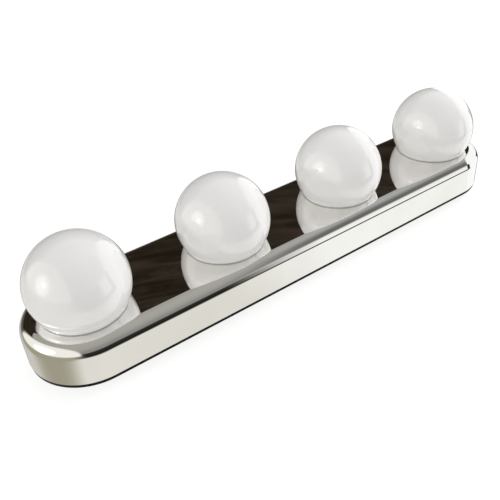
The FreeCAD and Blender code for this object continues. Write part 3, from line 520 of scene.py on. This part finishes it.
def section_host(name, section, path_radius, places=(), bands=None):
    """A mesh that holds a section for sweeping, and loose points where copies go."""
    mesh = bpy.data.meshes.new(name)
    drawn = [(x - path_radius, -z, 0) for x, z in section]
    spots = [spot for spot, _ in places]
    edges = [(number, number + 1) for number in range(len(drawn) - 1)]
    mesh.from_pydata(drawn + spots, edges, [])
    for label, kind in (("is_place", "BOOLEAN"), ("turn", "FLOAT_VECTOR"), ("band", "FLOAT")):
        mesh.attributes.new(label, kind, "POINT")
    for number, (_, turn) in enumerate(places, len(drawn)):
        mesh.attributes["is_place"].data[number].value = True
        mesh.attributes["turn"].data[number].vector = turn
    for number, value in enumerate(bands or ()):
        mesh.attributes["band"].data[number].value = value
    return added(name, mesh)


def applied(item):
    """The mesh that an object's modifiers make; the modifiers are then dropped."""
    evaluated = item.evaluated_get(bpy.context.evaluated_depsgraph_get())
    mesh = bpy.data.meshes.new_from_object(evaluated)
    item.modifiers.clear()
    return mesh


def settle(host, tree, material, keep_bands=False, **sizes):
    """Run a Geometry Nodes tree on its host and keep the result as a plain mesh."""
    modifier = host.modifiers.new("shape", "NODES")
    modifier.node_group = tree.tree
    given = {label.replace("_", " ").capitalize(): value for label, value in sizes.items()}
    given["Material"] = material
    for item in tree.tree.interface.items_tree:
        if item.in_out == "INPUT" and item.name in given:
            modifier[item.identifier] = given.pop(item.name)
    if given:
        raise RuntimeError(f"the tree has no input called {', '.join(given)}")
    mesh = applied(host)
    section, host.data = host.data, mesh
    bpy.data.meshes.remove(section)
    mesh.name = host.name
    if not mesh.polygons:
        raise RuntimeError(f"{host.name} came out empty")
    for spare in ("turn", "is_place") if keep_bands else ("turn", "is_place", "band"):
        if spare in mesh.attributes:
            mesh.attributes.remove(mesh.attributes[spare])
    return host


def smoothed(piece, degrees=32):
    piece.data.shade_smooth()
    piece.data.set_sharp_from_angle(angle=math.radians(degrees))
    return piece


def place_piece(piece, body, slot, *nodes):
    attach(piece, body)
    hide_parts(*nodes)


def spun(name, section, facets, material, places, recess=None, bands=None):
    host = section_host(name, section, 1.0, places, bands)
    tree = spun_tree(recess is not None)
    return smoothed(settle(host, tree, material, bool(bands), path_radius=1.0,
                           facets=facets, **(recess or {})))


def refill_flats(mesh):
    """Fill every flat area that has many sides afresh, from its outline and its holes alone."""
    shape = bmesh.new()
    shape.from_mesh(mesh)
    seen = set()
    areas = []
    for face in shape.faces:
        if face in seen or len(face.verts) < 5:
            continue
        area, todo = {face}, [face]
        while todo:
            for side in todo.pop().edges:
                for other in side.link_faces:
                    if other not in area and other.normal.dot(face.normal) > 0.999999:
                        area.add(other)
                        todo.append(other)
        seen |= area
        sides = {side for flat in area for side in flat.edges}
        outline = [side for side in sides if sum(flat in area for flat in side.link_faces) == 1]
        areas.append((face.normal.copy(), sorted(area, key=lambda flat: flat.index),
                      sorted(outline, key=lambda side: side.index)))
    for normal, area, outline in areas:
        bmesh.ops.delete(shape, geom=area, context="FACES_KEEP_BOUNDARY")
        bmesh.ops.triangle_fill(shape, edges=outline, normal=normal, use_beauty=True)
    bmesh.ops.recalc_face_normals(shape, faces=shape.faces)
    shape.to_mesh(mesh)
    shape.free()


def moulded_copy(node, name, edge, material):
    """A CAD piece's mesh, merged and cleared of flat seams, with its outer edges rounded."""
    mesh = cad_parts[node].data.copy()
    mesh.name = name
    shape = bmesh.new()
    shape.from_mesh(mesh)
    bmesh.ops.remove_doubles(shape, verts=shape.verts, dist=2e-6)
    bmesh.ops.dissolve_limit(shape, angle_limit=math.radians(0.6), verts=shape.verts,
                             edges=shape.edges)
    inside = low("front_shell", 2) - 0.1 * MM
    weight = shape.edges.layers.float.new("bevel_weight_edge")
    for side in shape.edges:
        sharp = side.calc_face_angle(0) > math.radians(50)
        side[weight] = float(sharp and all(vert.co.z < inside for vert in side.verts))
    shape.to_mesh(mesh)
    shape.free()
    mesh.materials.clear()
    mesh.materials.append(material)
    piece = added(name, mesh)
    bevel = piece.modifiers.new("rounded", "BEVEL")
    bevel.limit_method = "WEIGHT"
    bevel.width = edge
    bevel.segments = 2
    bevel.use_clamp_overlap = False
    bevel.miter_outer = "MITER_ARC"
    piece.data = applied(piece)
    refill_flats(piece.data)
    bpy.data.meshes.remove(mesh)
    return smoothed(piece, 40)


# ---- pieces ----

def true_shell_normals(mesh, end_centre, half_width, fillet, face):
    """Give the outside its exact normals, so that the mirror has no facets."""
    normals = [Vector(corner.vector) for corner in mesh.corner_normals]
    flat = half_width - fillet
    for polygon in mesh.polygons:
        for loop in polygon.loop_indices:
            spot = mesh.vertices[mesh.loops[loop].vertex_index].co
            side = max(-end_centre, min(end_centre, spot.x))
            out = Vector((spot.x - side, spot.y, 0))
            reach = out.length
            out.normalize()
            if polygon.normal.z > 0.9999 and polygon.center.z > face - 1e-5:
                normals[loop] = Vector((0, 0, 1))
            elif abs(reach - half_width) < 2e-5 and polygon.normal.dot(out) > 0.9:
                normals[loop] = out
            else:
                rise = Vector((reach - flat, spot.z - (face - fillet)))
                rounded = abs(rise.length - fillet) < 3e-5
                if rounded and polygon.normal.z > 0.001 and rise.y > -1e-6:
                    normals[loop] = (out * rise.x + Vector((0, 0, rise.y))).normalized()
    mesh.normals_split_custom_set(normals)


def make_shell():
    sizes = settings().shell
    half_width = high("front_shell", 1)
    end_centre = high("front_shell", 0) - half_width
    base, face = low("front_shell", 2), high("front_shell", 2)
    flat = half_width - sizes.fillet
    inner = sizes.fillet - sizes.wall
    level, ceiling = face - sizes.fillet, face - sizes.wall
    lead_in = 0.3 * MM
    section = arc(flat, level, sizes.fillet, 90, 0, sizes.fillet_steps)
    section += [(half_width, base + lead_in), (half_width - lead_in, base),
                (half_width - sizes.wall, base)]
    section += arc(flat, level, inner, 0, 90, sizes.fillet_steps // 2)
    material = chrome_finish()
    host = section_host("chrome_shell", section, flat)
    piece = settle(
        host, shell_tree(), material, end_centre=end_centre, face_half_width=flat, face_level=face,
        ceiling_level=ceiling, hole_radius=sizes.hole,
        hole_pitch=middle("globe_2", 0) - middle("globe_1", 0), hole_count=len(GLOBES),
        ring_points=2 * sizes.end_steps + 2, window_centre=middle("switch_body", 0),
        window_level=middle("switch_body", 2), window_length=9.1 * MM, window_height=5 * MM,
        window_wall=half_width - sizes.wall / 2)
    foot, root = low("cover_screws", 2) + 4.6 * MM, ceiling + 0.5 * MM
    bottom = ceiling - 6 * MM
    post = [(0, root), (sizes.post, root), (sizes.post, foot), (sizes.pilot, foot),
            (sizes.pilot, bottom), (0, bottom)]
    posts = spun("chrome_screw_posts", post, 32, material,
                 [(spot, UPRIGHT) for spot in screw_spots()])
    true_shell_normals(smoothed(piece).data, end_centre, half_width, sizes.fillet, face)
    place_piece(piece, BAR, "chrome_shell", "front_shell")
    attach(posts, BAR)


def screw_spots():
    """The four cover screws: one near each end and one near each long side."""
    reach = high("cover_screws", 0) - SCREW_HEAD
    across = high("cover_screws", 1) - SCREW_HEAD
    return [(reach, 0, 0), (0, across, 0), (-reach, 0, 0), (0, -across, 0)]


def make_globes():
    sizes = settings().globe
    material = opal_finish()
    face = high("front_shell", 2)
    for number in GLOBES:
        node = f"globe_{number}"
        top = high(node, 2)
        radius = (high(node, 0) - low(node, 0)) / 2
        centre = top - radius
        foot = low(node, 2)
        inside = radius - sizes.wall
        seat = math.degrees(math.asin((face + sizes.tuck - centre) / radius))
        shoulder = radius * math.cos(math.radians(seat))
        outer = arc(0, centre, radius, 90, seat, 56)
        tucked = arc(shoulder - sizes.tuck, face + sizes.tuck, sizes.tuck, -12, -90, 5)
        neck = [(sizes.neck, face), (sizes.neck, foot + 0.2 * MM), (sizes.neck - 0.2 * MM, foot),
                (sizes.bore, foot), (sizes.bore, face + sizes.ledge)]
        floor_angle = math.degrees(math.asin((face + sizes.ledge - centre) / inside))
        inner = arc(0, centre, inside, floor_angle, 90, 30)
        section = outer + tucked + neck + inner
        piece = spun(f"opal_{node}", section, sizes.turns, material,
                     [((middle(node, 0), 0, 0), UPRIGHT)])
        place_piece(piece, BAR, "opal", node)


def make_mouldings():
    black = spark_plastic("spark_black_plastic", settings().colour.black)
    for node, body in (("back_cover", BAR), ("battery_door", DOOR)):
        piece = moulded_copy(node, f"black_{node}", settings().small.moulded_edge, black)
        place_piece(piece, body, "black_plastic", node)


def make_cups():
    material = vinyl_finish()
    for node in ("suction_cup_left", "suction_cup_right"):
        lip, top = high(node, 0) - middle(node, 0), high(node, 2)
        hollow, edge = 5 * MM, 0.8 * MM
        ball = (lip ** 2 + hollow ** 2) / (2 * hollow)
        rest = lip - 0.5 * MM
        lean = math.degrees(math.acos(rest / ball))
        under = [(rest, 0.0)] + arc(0, hollow - ball, ball, lean, 90, 22)[1:]
        button = [(0, top)] + arc(5.2 * MM, top - 0.8 * MM, 0.8 * MM, 90, 0, 5)
        button += arc(5.5 * MM, top - 2.5 * MM, 0.5 * MM, 0, -90, 4)
        waist = arc(4.9 * MM, top - 3.9 * MM, 0.9 * MM, 90, 180, 5)
        waist += arc(4.9 * MM, top - 4.3 * MM, 0.9 * MM, 180, 262, 5)
        shoulder = [(8 * MM, 8.7 * MM), (11 * MM, 7.1 * MM), (14 * MM, 5.2 * MM),
                    (17 * MM, 3.15 * MM), (19.4 * MM, 1.75 * MM), (20.6 * MM, 1.1 * MM)]
        rim = arc(lip - 0.4 * MM, edge / 2, edge / 2, 60, -80, 6)
        section = button + waist + shoulder + rim + under
        piece = spun(f"vinyl_{node}", section, 72, material,
                     [((middle(node, 0), 0, 0), UPRIGHT)])
        place_piece(piece, BAR, "cup_rubber", node)


def make_cells():
    """Four cells, each spun once and laid on its side; the two rows point opposite ways."""
    edge = settings().small.cell_edge
    can = 7.25 * MM
    whole, nub = 49.5 * MM, 2.75 * MM
    section = [(0, whole + 1 * MM), (nub - 0.3 * MM, whole + 1 * MM), (nub, whole + 0.7 * MM),
               (nub, whole), (can - 1.4 * MM, whole)]
    bands = [1.0] * len(section)
    shoulder = arc(can - edge, whole - edge, edge, 90, 0, 4)
    section += shoulder
    bands += [1.0] + [0.8] * (len(shoulder) - 1)
    section += [(can, whole - 12 * MM), (can, whole - 12.01 * MM)]
    bands += [0.8, 0.4]
    foot = arc(can - edge, edge, edge, 0, -90, 4)
    section += foot + [(can - 1.2 * MM, 0.0), (can - 1.5 * MM, 0.15 * MM), (0, 0.15 * MM)]
    bands += [0.4] * (len(foot) - 1) + [0.0] * 4
    places = []
    for number in GLOBES:
        node = f"battery_cell_{number}"
        forward = middle(node, 1) > 0
        start = low(node, 0) if forward else high(node, 0)
        spin = (0, math.pi / 2 if forward else -math.pi / 2, 0)
        places.append(((start, middle(node, 1), middle(node, 2)), spin))
    piece = spun("jacketed_cells", section, 48, cell_finish(), places, bands=bands)
    place_piece(piece, BAR, "cell_jacket", *(f"battery_cell_{number}" for number in GLOBES))


def make_cover_screws():
    seat = low("cover_screws", 2)
    head, shank, core, rounding = SCREW_HEAD, 1.2 * MM, 0.9 * MM, 0.5 * MM
    crown = seat + 1.5 * MM
    section = [(0, seat + 11.5 * MM), (0.5 * MM, seat + 11.3 * MM)]
    thread, pitch = seat + 10.6 * MM, 0.9 * MM
    while thread > crown + 1.2 * MM:
        section += [(shank, thread), (core, thread - pitch / 2)]
        thread -= pitch
    section += [(shank, crown + 0.4 * MM), (shank, crown), (head, crown)]
    section += [(head, seat + rounding)]
    section += arc(head - rounding, seat + rounding, rounding, 0, -90, 4) + [(0, seat)]
    material = metal_finish("blackened_steel", (0.05, 0.05, 0.052), (1, 1, 1))
    recess = {"recess_width": settings().small.recess, "recess_span": 2.4 * MM,
              "recess_depth": 1.7 * MM, "recess_level": seat}
    piece = spun("cross_head_cover_screws", section, 28, material,
                 [(spot, (0, 0, 0.4 * number)) for number, spot in enumerate(screw_spots())],
                 recess)
    place_piece(piece, BAR, "black_screw", "cover_screws")


def make_knob():
    edge = settings().small.knob_edge
    plastic = spark_plastic("knob_plastic", (0.035, 0.035, 0.037), 0.3, 0.45)
    knob = moulded_copy("switch_knob", "ribbed_switch_knob", edge, plastic)
    place_piece(knob, KNOB, "switch_knob", "switch_knob")


def make_pad():
    """Closed-cell foam in the door: a slab whose edges pull in, with a slightly crowned top."""
    pull = settings().small.pad_edge
    (x0, y0, z0), (x1, y1, z1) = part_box("door_pad")
    shape = bmesh.new()
    columns, rows = 45, 13
    grid = []
    for row in range(rows):
        for column in range(columns):
            u, v = column / (columns - 1), row / (rows - 1)
            rim = min(u, 1 - u) * (x1 - x0), min(v, 1 - v) * (y1 - y0)
            sink = sum(max(0.0, 1 - gap / (1.6 * MM)) ** 2 for gap in rim)
            grid.append(shape.verts.new((x0 + u * (x1 - x0), y0 + v * (y1 - y0),
                                         z1 - pull * min(1.0, sink))))
    for row in range(rows - 1):
        for column in range(columns - 1):
            first = row * columns + column
            shape.faces.new([grid[first + step] for step in (0, 1, columns + 1, columns)])
    border = [edge for edge in shape.edges if edge.is_boundary]
    skirt = bmesh.ops.extrude_edge_only(shape, edges=border)["geom"]
    foot = [item for item in skirt if isinstance(item, bmesh.types.BMVert)]
    for vert in foot:
        vert.co.z = z0
        vert.co.x = max(x0 + pull, min(x1 - pull, vert.co.x))
        vert.co.y = max(y0 + pull, min(y1 - pull, vert.co.y))
    base = [item for item in skirt if isinstance(item, bmesh.types.BMEdge)
            and all(vert in foot for vert in item.verts)]
    bmesh.ops.contextual_create(shape, geom=base)
    bmesh.ops.triangulate(shape, faces=[face for face in shape.faces if len(face.verts) > 4])
    bmesh.ops.recalc_face_normals(shape, faces=shape.faces)
    mesh = bpy.data.meshes.new("foam_door_pad")
    shape.to_mesh(mesh)
    shape.free()
    mesh.materials.append(foam_finish())
    piece = smoothed(added("foam_door_pad", mesh), 60)
    place_piece(piece, DOOR, "foam", "door_pad")


def dress(material, *nodes):
    """Give CAD nodes that keep their own meshes a finish."""
    for node in nodes:
        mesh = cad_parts[node].data
        mesh.materials.clear()
        mesh.materials.append(material)


def dress_inner_parts():
    numbered = {stem: [f"{stem}_{number}" for number in numbers] for stem, numbers in (
        ("led_board", GLOBES), ("led_chips", GLOBES), ("globe_clamp", GLOBES),
        ("link_wire_red", GLOBES[:-1]), ("link_wire_black", GLOBES[:-1]))}
    dress(board_finish(), *numbered["led_board"])
    dress(led_finish(), *numbered["led_chips"])
    dress(spark_plastic("clamp_plastic", (0.6, 0.6, 0.58)), *numbered["globe_clamp"])
    dress(metal_finish("nickel_strip", (0.66, 0.62, 0.54)),
          "contact_plus", "contact_minus", "contact_bridge")
    dress(metal_finish("zinc_steel", (0.6, 0.61, 0.63), (1, 1, 1)),
          "clamp_screws", "switch_screws")
    dress(spark_plastic("switch_case_plastic", (0.02, 0.02, 0.022), 0.35, 0.55), "switch_body")
    dress(wire_finish("red_insulation", (0.5, 0.02, 0.015)), *numbered["link_wire_red"],
          "lead_battery_to_switch", "lead_switch_to_board")
    dress(wire_finish("black_insulation", (0.015, 0.015, 0.016)), *numbered["link_wire_black"],
          "lead_battery_to_board")


# ---- stage ----

FLOOR_RADIUS, FLOOR_DROP = 4.0, 0.1 * MM
GLOW_FOR_CAMERA = 0.4   # the part of the floor's glow that lights nothing else


def make_floor():
    sizes = settings().stage
    shape = bmesh.new()
    bmesh.ops.create_circle(shape, cap_ends=True, radius=FLOOR_RADIUS, segments=96,
                            matrix=Matrix.Translation((0, 0, -FLOOR_DROP)))
    mesh = bpy.data.meshes.new("pale_floor")
    shape.to_mesh(mesh)
    shape.free()
    finish = Finish("pale_floor", {"Roughness": 0.9, "Specular IOR Level": 0.0,
                                   "Emission Color": (1.0, 0.998, 0.99, 1)})
    finish.mottle(finish.noise(6, 3), sizes.floor, 0.99, 1.01)
    camera_ray = finish.add("ShaderNodeLightPath").outputs["Is Camera Ray"]
    extra = finish.math("MULTIPLY", camera_ray, GLOW_FOR_CAMERA)
    finish.feed("Emission Strength",
                finish.math("ADD", extra, sizes.floor_glow - GLOW_FOR_CAMERA))
    below = finish.add("ShaderNodeNewGeometry").outputs["Backfacing"]
    clear = finish.add("ShaderNodeBsdfTransparent").outputs[0]
    sides = finish.add("ShaderNodeMixShader",
                       {0: below, 1: finish.shader.outputs[0], 2: clear}).outputs[0]
    finish.tree.links.new(sides, finish.tree.nodes["Material Output"].inputs["Surface"])
    mesh.materials.append(finish.material)
    floor = added("pale_floor", mesh)
    floor.visible_glossy = False


def make_world():
    """Plain pale surroundings, a soft dome, and the studio that only the gloss mirrors.

    The long sides of the bar mirror directions that lie on planes through its length, so the
    studio is laid out by the angle about X: 0 is level behind the bar, 90 overhead, 180 level
    in front of it and 270 straight down."""
    world = bpy.data.worlds.new("studio")
    bpy.context.scene.world = world
    world.use_nodes = True
    graph = Graph(world.node_tree)
    way = graph.add("ShaderNodeTexCoord").outputs["Generated"]
    x, y, z = graph.add("ShaderNodeSeparateXYZ", {0: way}).outputs

    def mix(factor, *hues):
        first, second = (hue if isinstance(hue, bpy.types.NodeSocket) else (*hue, 1)
                         for hue in hues)
        return graph.add("ShaderNodeMix", {0: factor, 6: first, 7: second},
                         data_type="RGBA").outputs[2]

    def towards(direction):
        return graph.add("ShaderNodeVectorMath",
                         {0: way, 1: Vector(direction).normalized()},
                         operation="DOT_PRODUCT").outputs["Value"]

    def edge(value, start, stop):
        return graph.add("ShaderNodeMapRange",
                         {"Value": value, "From Min": start, "From Max": stop},
                         interpolation_type="SMOOTHSTEP").outputs[0]

    def both(first, second):
        return graph.math("MULTIPLY", first, second)

    def sector(rise, full, end, fall):
        """All of a range of angles about X, with a soft start and a soft end; in degrees."""
        return both(edge(turn, rise / 360, full / 360), edge(turn, fall / 360, end / 360))

    def bands(hue, *levels):
        return graph.ramp(turn, [(degrees / 360, [level * channel for channel in hue])
                                 for degrees, level in levels])

    facing = graph.math("ARCTAN2", graph.math("MULTIPLY", z, -1.0),
                        graph.math("MULTIPLY", y, -1.0))
    turn = graph.math("ADD", graph.math("DIVIDE", facing, 2 * math.pi), 0.5)
    left = bands((1.0, 0.98, 0.9), (0, 0.1), (12, 0.1), (42, 0.36), (95, 0.42), (130, 0.38),
                 (152, 0.28), (166, 0.26), (172, 0.03), (204, 0.01), (211, 0.3), (217, 0.84),
                 (226, 0.78), (270, 0.8), (342, 0.5), (354, 0.1))
    right = bands((1.0, 1.0, 0.97), (0, 0.1), (12, 0.1), (42, 0.36), (80, 0.44), (104, 0.34),
                  (122, 0.17), (148, 0.13), (158, 0.6), (164, 0.95), (196, 1.0), (201, 0.03),
                  (209, 0.01), (214, 1.0), (226, 0.98), (270, 0.9), (342, 0.5), (354, 0.1))
    studio = mix(edge(x, 0.38, 0.56), left, right)
    studio = mix(both(edge(x, -0.4, -0.74), edge(z, 0.0, -0.12)), studio, (0.37, 0.345, 0.265))
    studio = mix(both(edge(x, -0.5, -0.6), edge(z, -0.14, 0.0)), studio, (0.95, 0.93, 0.86))
    studio = mix(edge(towards((-0.93, 0.12, 0.3)), 0.93, 0.985), studio, (2.6, 2.55, 2.4))
    flattened = graph.add("ShaderNodeMapping", {"Vector": way, "Scale": (1.2, 1.2, 26)}).outputs[0]
    streaks = graph.add("ShaderNodeTexNoise", {
        "Vector": flattened, "Scale": 4.0, "Detail": 7.0, "Roughness": 0.7,
        "Distortion": 1.1}).outputs["Fac"]
    wood = mix(edge(streaks, 0.36, 0.66), (0.013, 0.009, 0.0055), (0.042, 0.031, 0.022))
    panel = both(sector(7, 11, 42.0, 42.7), both(edge(x, -0.52, -0.46), edge(y, 0.0, 0.05)))
    studio = mix(panel, studio, wood)
    studio = mix(edge(x, 0.745, 0.78), studio, (1.05, 1.05, 1.04))
    corner = both(both(edge(x, 0.735, 0.745), edge(x, 0.835, 0.82)),
                  sector(144, 154.8, 210.6, 214.2))
    studio = mix(corner, studio, (0.03, 0.027, 0.02))
    rim = both(sector(295.2, 306, 333, 336.6), edge(x, -0.08, 0.02))
    studio = mix(rim, studio, (0.02, 0.02, 0.02))

    sizes = settings().stage
    dome = mix(edge(z, -0.1, 1.0), (0.17, 0.167, 0.16), (0.92, 0.92, 0.925))
    rays = graph.add("ShaderNodeLightPath").outputs
    soft, mirrored, seen = (
        graph.add("ShaderNodeBackground", {"Color": hue, "Strength": strength}).outputs[0]
        for hue, strength in ((dome, sizes.dome), (studio, 1.0), ((1.0, 1.0, 1.0, 1), 1.0)))
    for label, shader in (("Is Glossy Ray", mirrored), ("Is Camera Ray", seen)):
        soft = graph.add("ShaderNodeMixShader", {0: rays[label], 1: soft, 2: shader}).outputs[0]
    world.node_tree.links.new(soft, world.node_tree.nodes["World Output"].inputs["Surface"])


def add_softbox(name, towards, distance, size, watts, mirrored):
    light = bpy.data.lights.new(name, "AREA")
    light.shape = "DISK"
    light.size = size
    light.energy = watts
    lamp = added(name, light)
    aim = Vector(towards).normalized()
    target = Vector((0, 0, middle("globe_1", 2)))
    lamp.location = target + aim * distance
    lamp.rotation_euler = aim.to_track_quat("Z", "Y").to_euler()
    lamp.visible_glossy = mirrored


def make_lights():
    add_softbox("upper_right_softbox", (0.9, -0.1, 0.4), 0.75, 0.45, 2.6, False)
    add_softbox("small_left_lamp", (-0.955, 0.05, 0.29), 0.9, 0.07, 0.9, True)


def make_camera():
    sizes = settings().stage
    camera = bpy.data.cameras.new("view")
    camera.sensor_width = 36
    camera.lens = sizes.lens
    camera.shift_x, camera.shift_y = sizes.shift
    camera.clip_start, camera.clip_end = 0.01, 50
    eye = added("view", camera)
    level = Euler((math.pi / 2 - sizes.pitch, 0, sizes.heading)).to_matrix()
    eye.matrix_world = (Matrix.Translation(sizes.place)
                        @ (level @ Matrix.Rotation(-sizes.roll, 3, "Z")).to_4x4())
    bpy.context.scene.camera = eye
    bpy.context.scene.view_settings.view_transform = "Standard"


# ---- operators and panel ----

class LIGHTBAR_OT_stage(bpy.types.Operator):
    """Set up the pale floor, the soft light and the camera"""
    bl_idname = "light_bar.stage"
    bl_label = "Stage"

    def execute(self, context):
        make_camera()
        make_floor()
        make_world()
        make_lights()
        return {"FINISHED"}


class LIGHTBAR_OT_shell(bpy.types.Operator):
    """Build the chrome shell with its four globe holes and its screw posts"""
    bl_idname = "light_bar.shell"
    bl_label = "Chrome shell"

    def execute(self, context):
        make_shell()
        return {"FINISHED"}


class LIGHTBAR_OT_globes(bpy.types.Operator):
    """Spin the four opal globes"""
    bl_idname = "light_bar.globes"
    bl_label = "Opal globes"

    def execute(self, context):
        make_globes()
        return {"FINISHED"}


class LIGHTBAR_OT_mouldings(bpy.types.Operator):
    """Build the black back cover and the battery door"""
    bl_idname = "light_bar.mouldings"
    bl_label = "Back cover and door"

    def execute(self, context):
        make_mouldings()
        return {"FINISHED"}


class LIGHTBAR_OT_cups(bpy.types.Operator):
    """Spin the two vinyl suction cups"""
    bl_idname = "light_bar.cups"
    bl_label = "Suction cups"

    def execute(self, context):
        make_cups()
        return {"FINISHED"}


class LIGHTBAR_OT_cells(bpy.types.Operator):
    """Lay the four battery cells in their box"""
    bl_idname = "light_bar.cells"
    bl_label = "Battery cells"

    def execute(self, context):
        make_cells()
        return {"FINISHED"}


class LIGHTBAR_OT_cover_screws(bpy.types.Operator):
    """Set the four cover screws"""
    bl_idname = "light_bar.cover_screws"
    bl_label = "Cover screws"

    def execute(self, context):
        make_cover_screws()
        return {"FINISHED"}


class LIGHTBAR_OT_knob(bpy.types.Operator):
    """Build the ribbed knob of the slide switch"""
    bl_idname = "light_bar.knob"
    bl_label = "Switch knob"

    def execute(self, context):
        make_knob()
        return {"FINISHED"}


class LIGHTBAR_OT_pad(bpy.types.Operator):
    """Build the foam pad inside the battery door"""
    bl_idname = "light_bar.pad"
    bl_label = "Foam pad"

    def execute(self, context):
        make_pad()
        return {"FINISHED"}


class LIGHTBAR_OT_inner_parts(bpy.types.Operator):
    """Give the boards, contacts, clamps, wires and small screws their finishes"""
    bl_idname = "light_bar.inner_parts"
    bl_label = "Inner parts"

    def execute(self, context):
        dress_inner_parts()
        return {"FINISHED"}


OPERATORS = (LIGHTBAR_OT_stage, LIGHTBAR_OT_shell, LIGHTBAR_OT_globes, LIGHTBAR_OT_mouldings,
             LIGHTBAR_OT_cups, LIGHTBAR_OT_cells, LIGHTBAR_OT_cover_screws, LIGHTBAR_OT_knob,
             LIGHTBAR_OT_pad, LIGHTBAR_OT_inner_parts)
GROUPS = (ShellSizes, GlobeSizes, SmallPartSizes, FinishColours, StageSettings)


class LIGHTBAR_PT_panel(bpy.types.Panel):
    """Sizes, colours and build steps of the light bar"""
    bl_idname = "LIGHTBAR_PT_panel"
    bl_label = "Light Bar"
    bl_space_type = "VIEW_3D"
    bl_region_type = "UI"
    bl_category = "Light Bar"

    def draw(self, context):
        chosen = context.scene.light_bar
        for title in ("shell", "globe", "small", "colour", "stage"):
            box = self.layout.box()
            box.label(text=title.capitalize())
            group = getattr(chosen, title)
            for name in group.__annotations__:
                box.prop(group, name)
        for operator in OPERATORS:
            self.layout.operator(operator.bl_idname)


def register():
    for item in (*GROUPS, LightBarSettings, *OPERATORS, LIGHTBAR_PT_panel):
        bpy.utils.register_class(item)
    bpy.types.Scene.light_bar = bpy.props.PointerProperty(type=LightBarSettings)


def unregister():
    del bpy.types.Scene.light_bar
    for item in reversed((*GROUPS, LightBarSettings, *OPERATORS, LIGHTBAR_PT_panel)):
        bpy.utils.unregister_class(item)


def main():
    register()
    for operator in OPERATORS:
        family, name = operator.bl_idname.split(".")
        getattr(getattr(bpy.ops, family), name)()


if __name__ == "__main__":
    main()
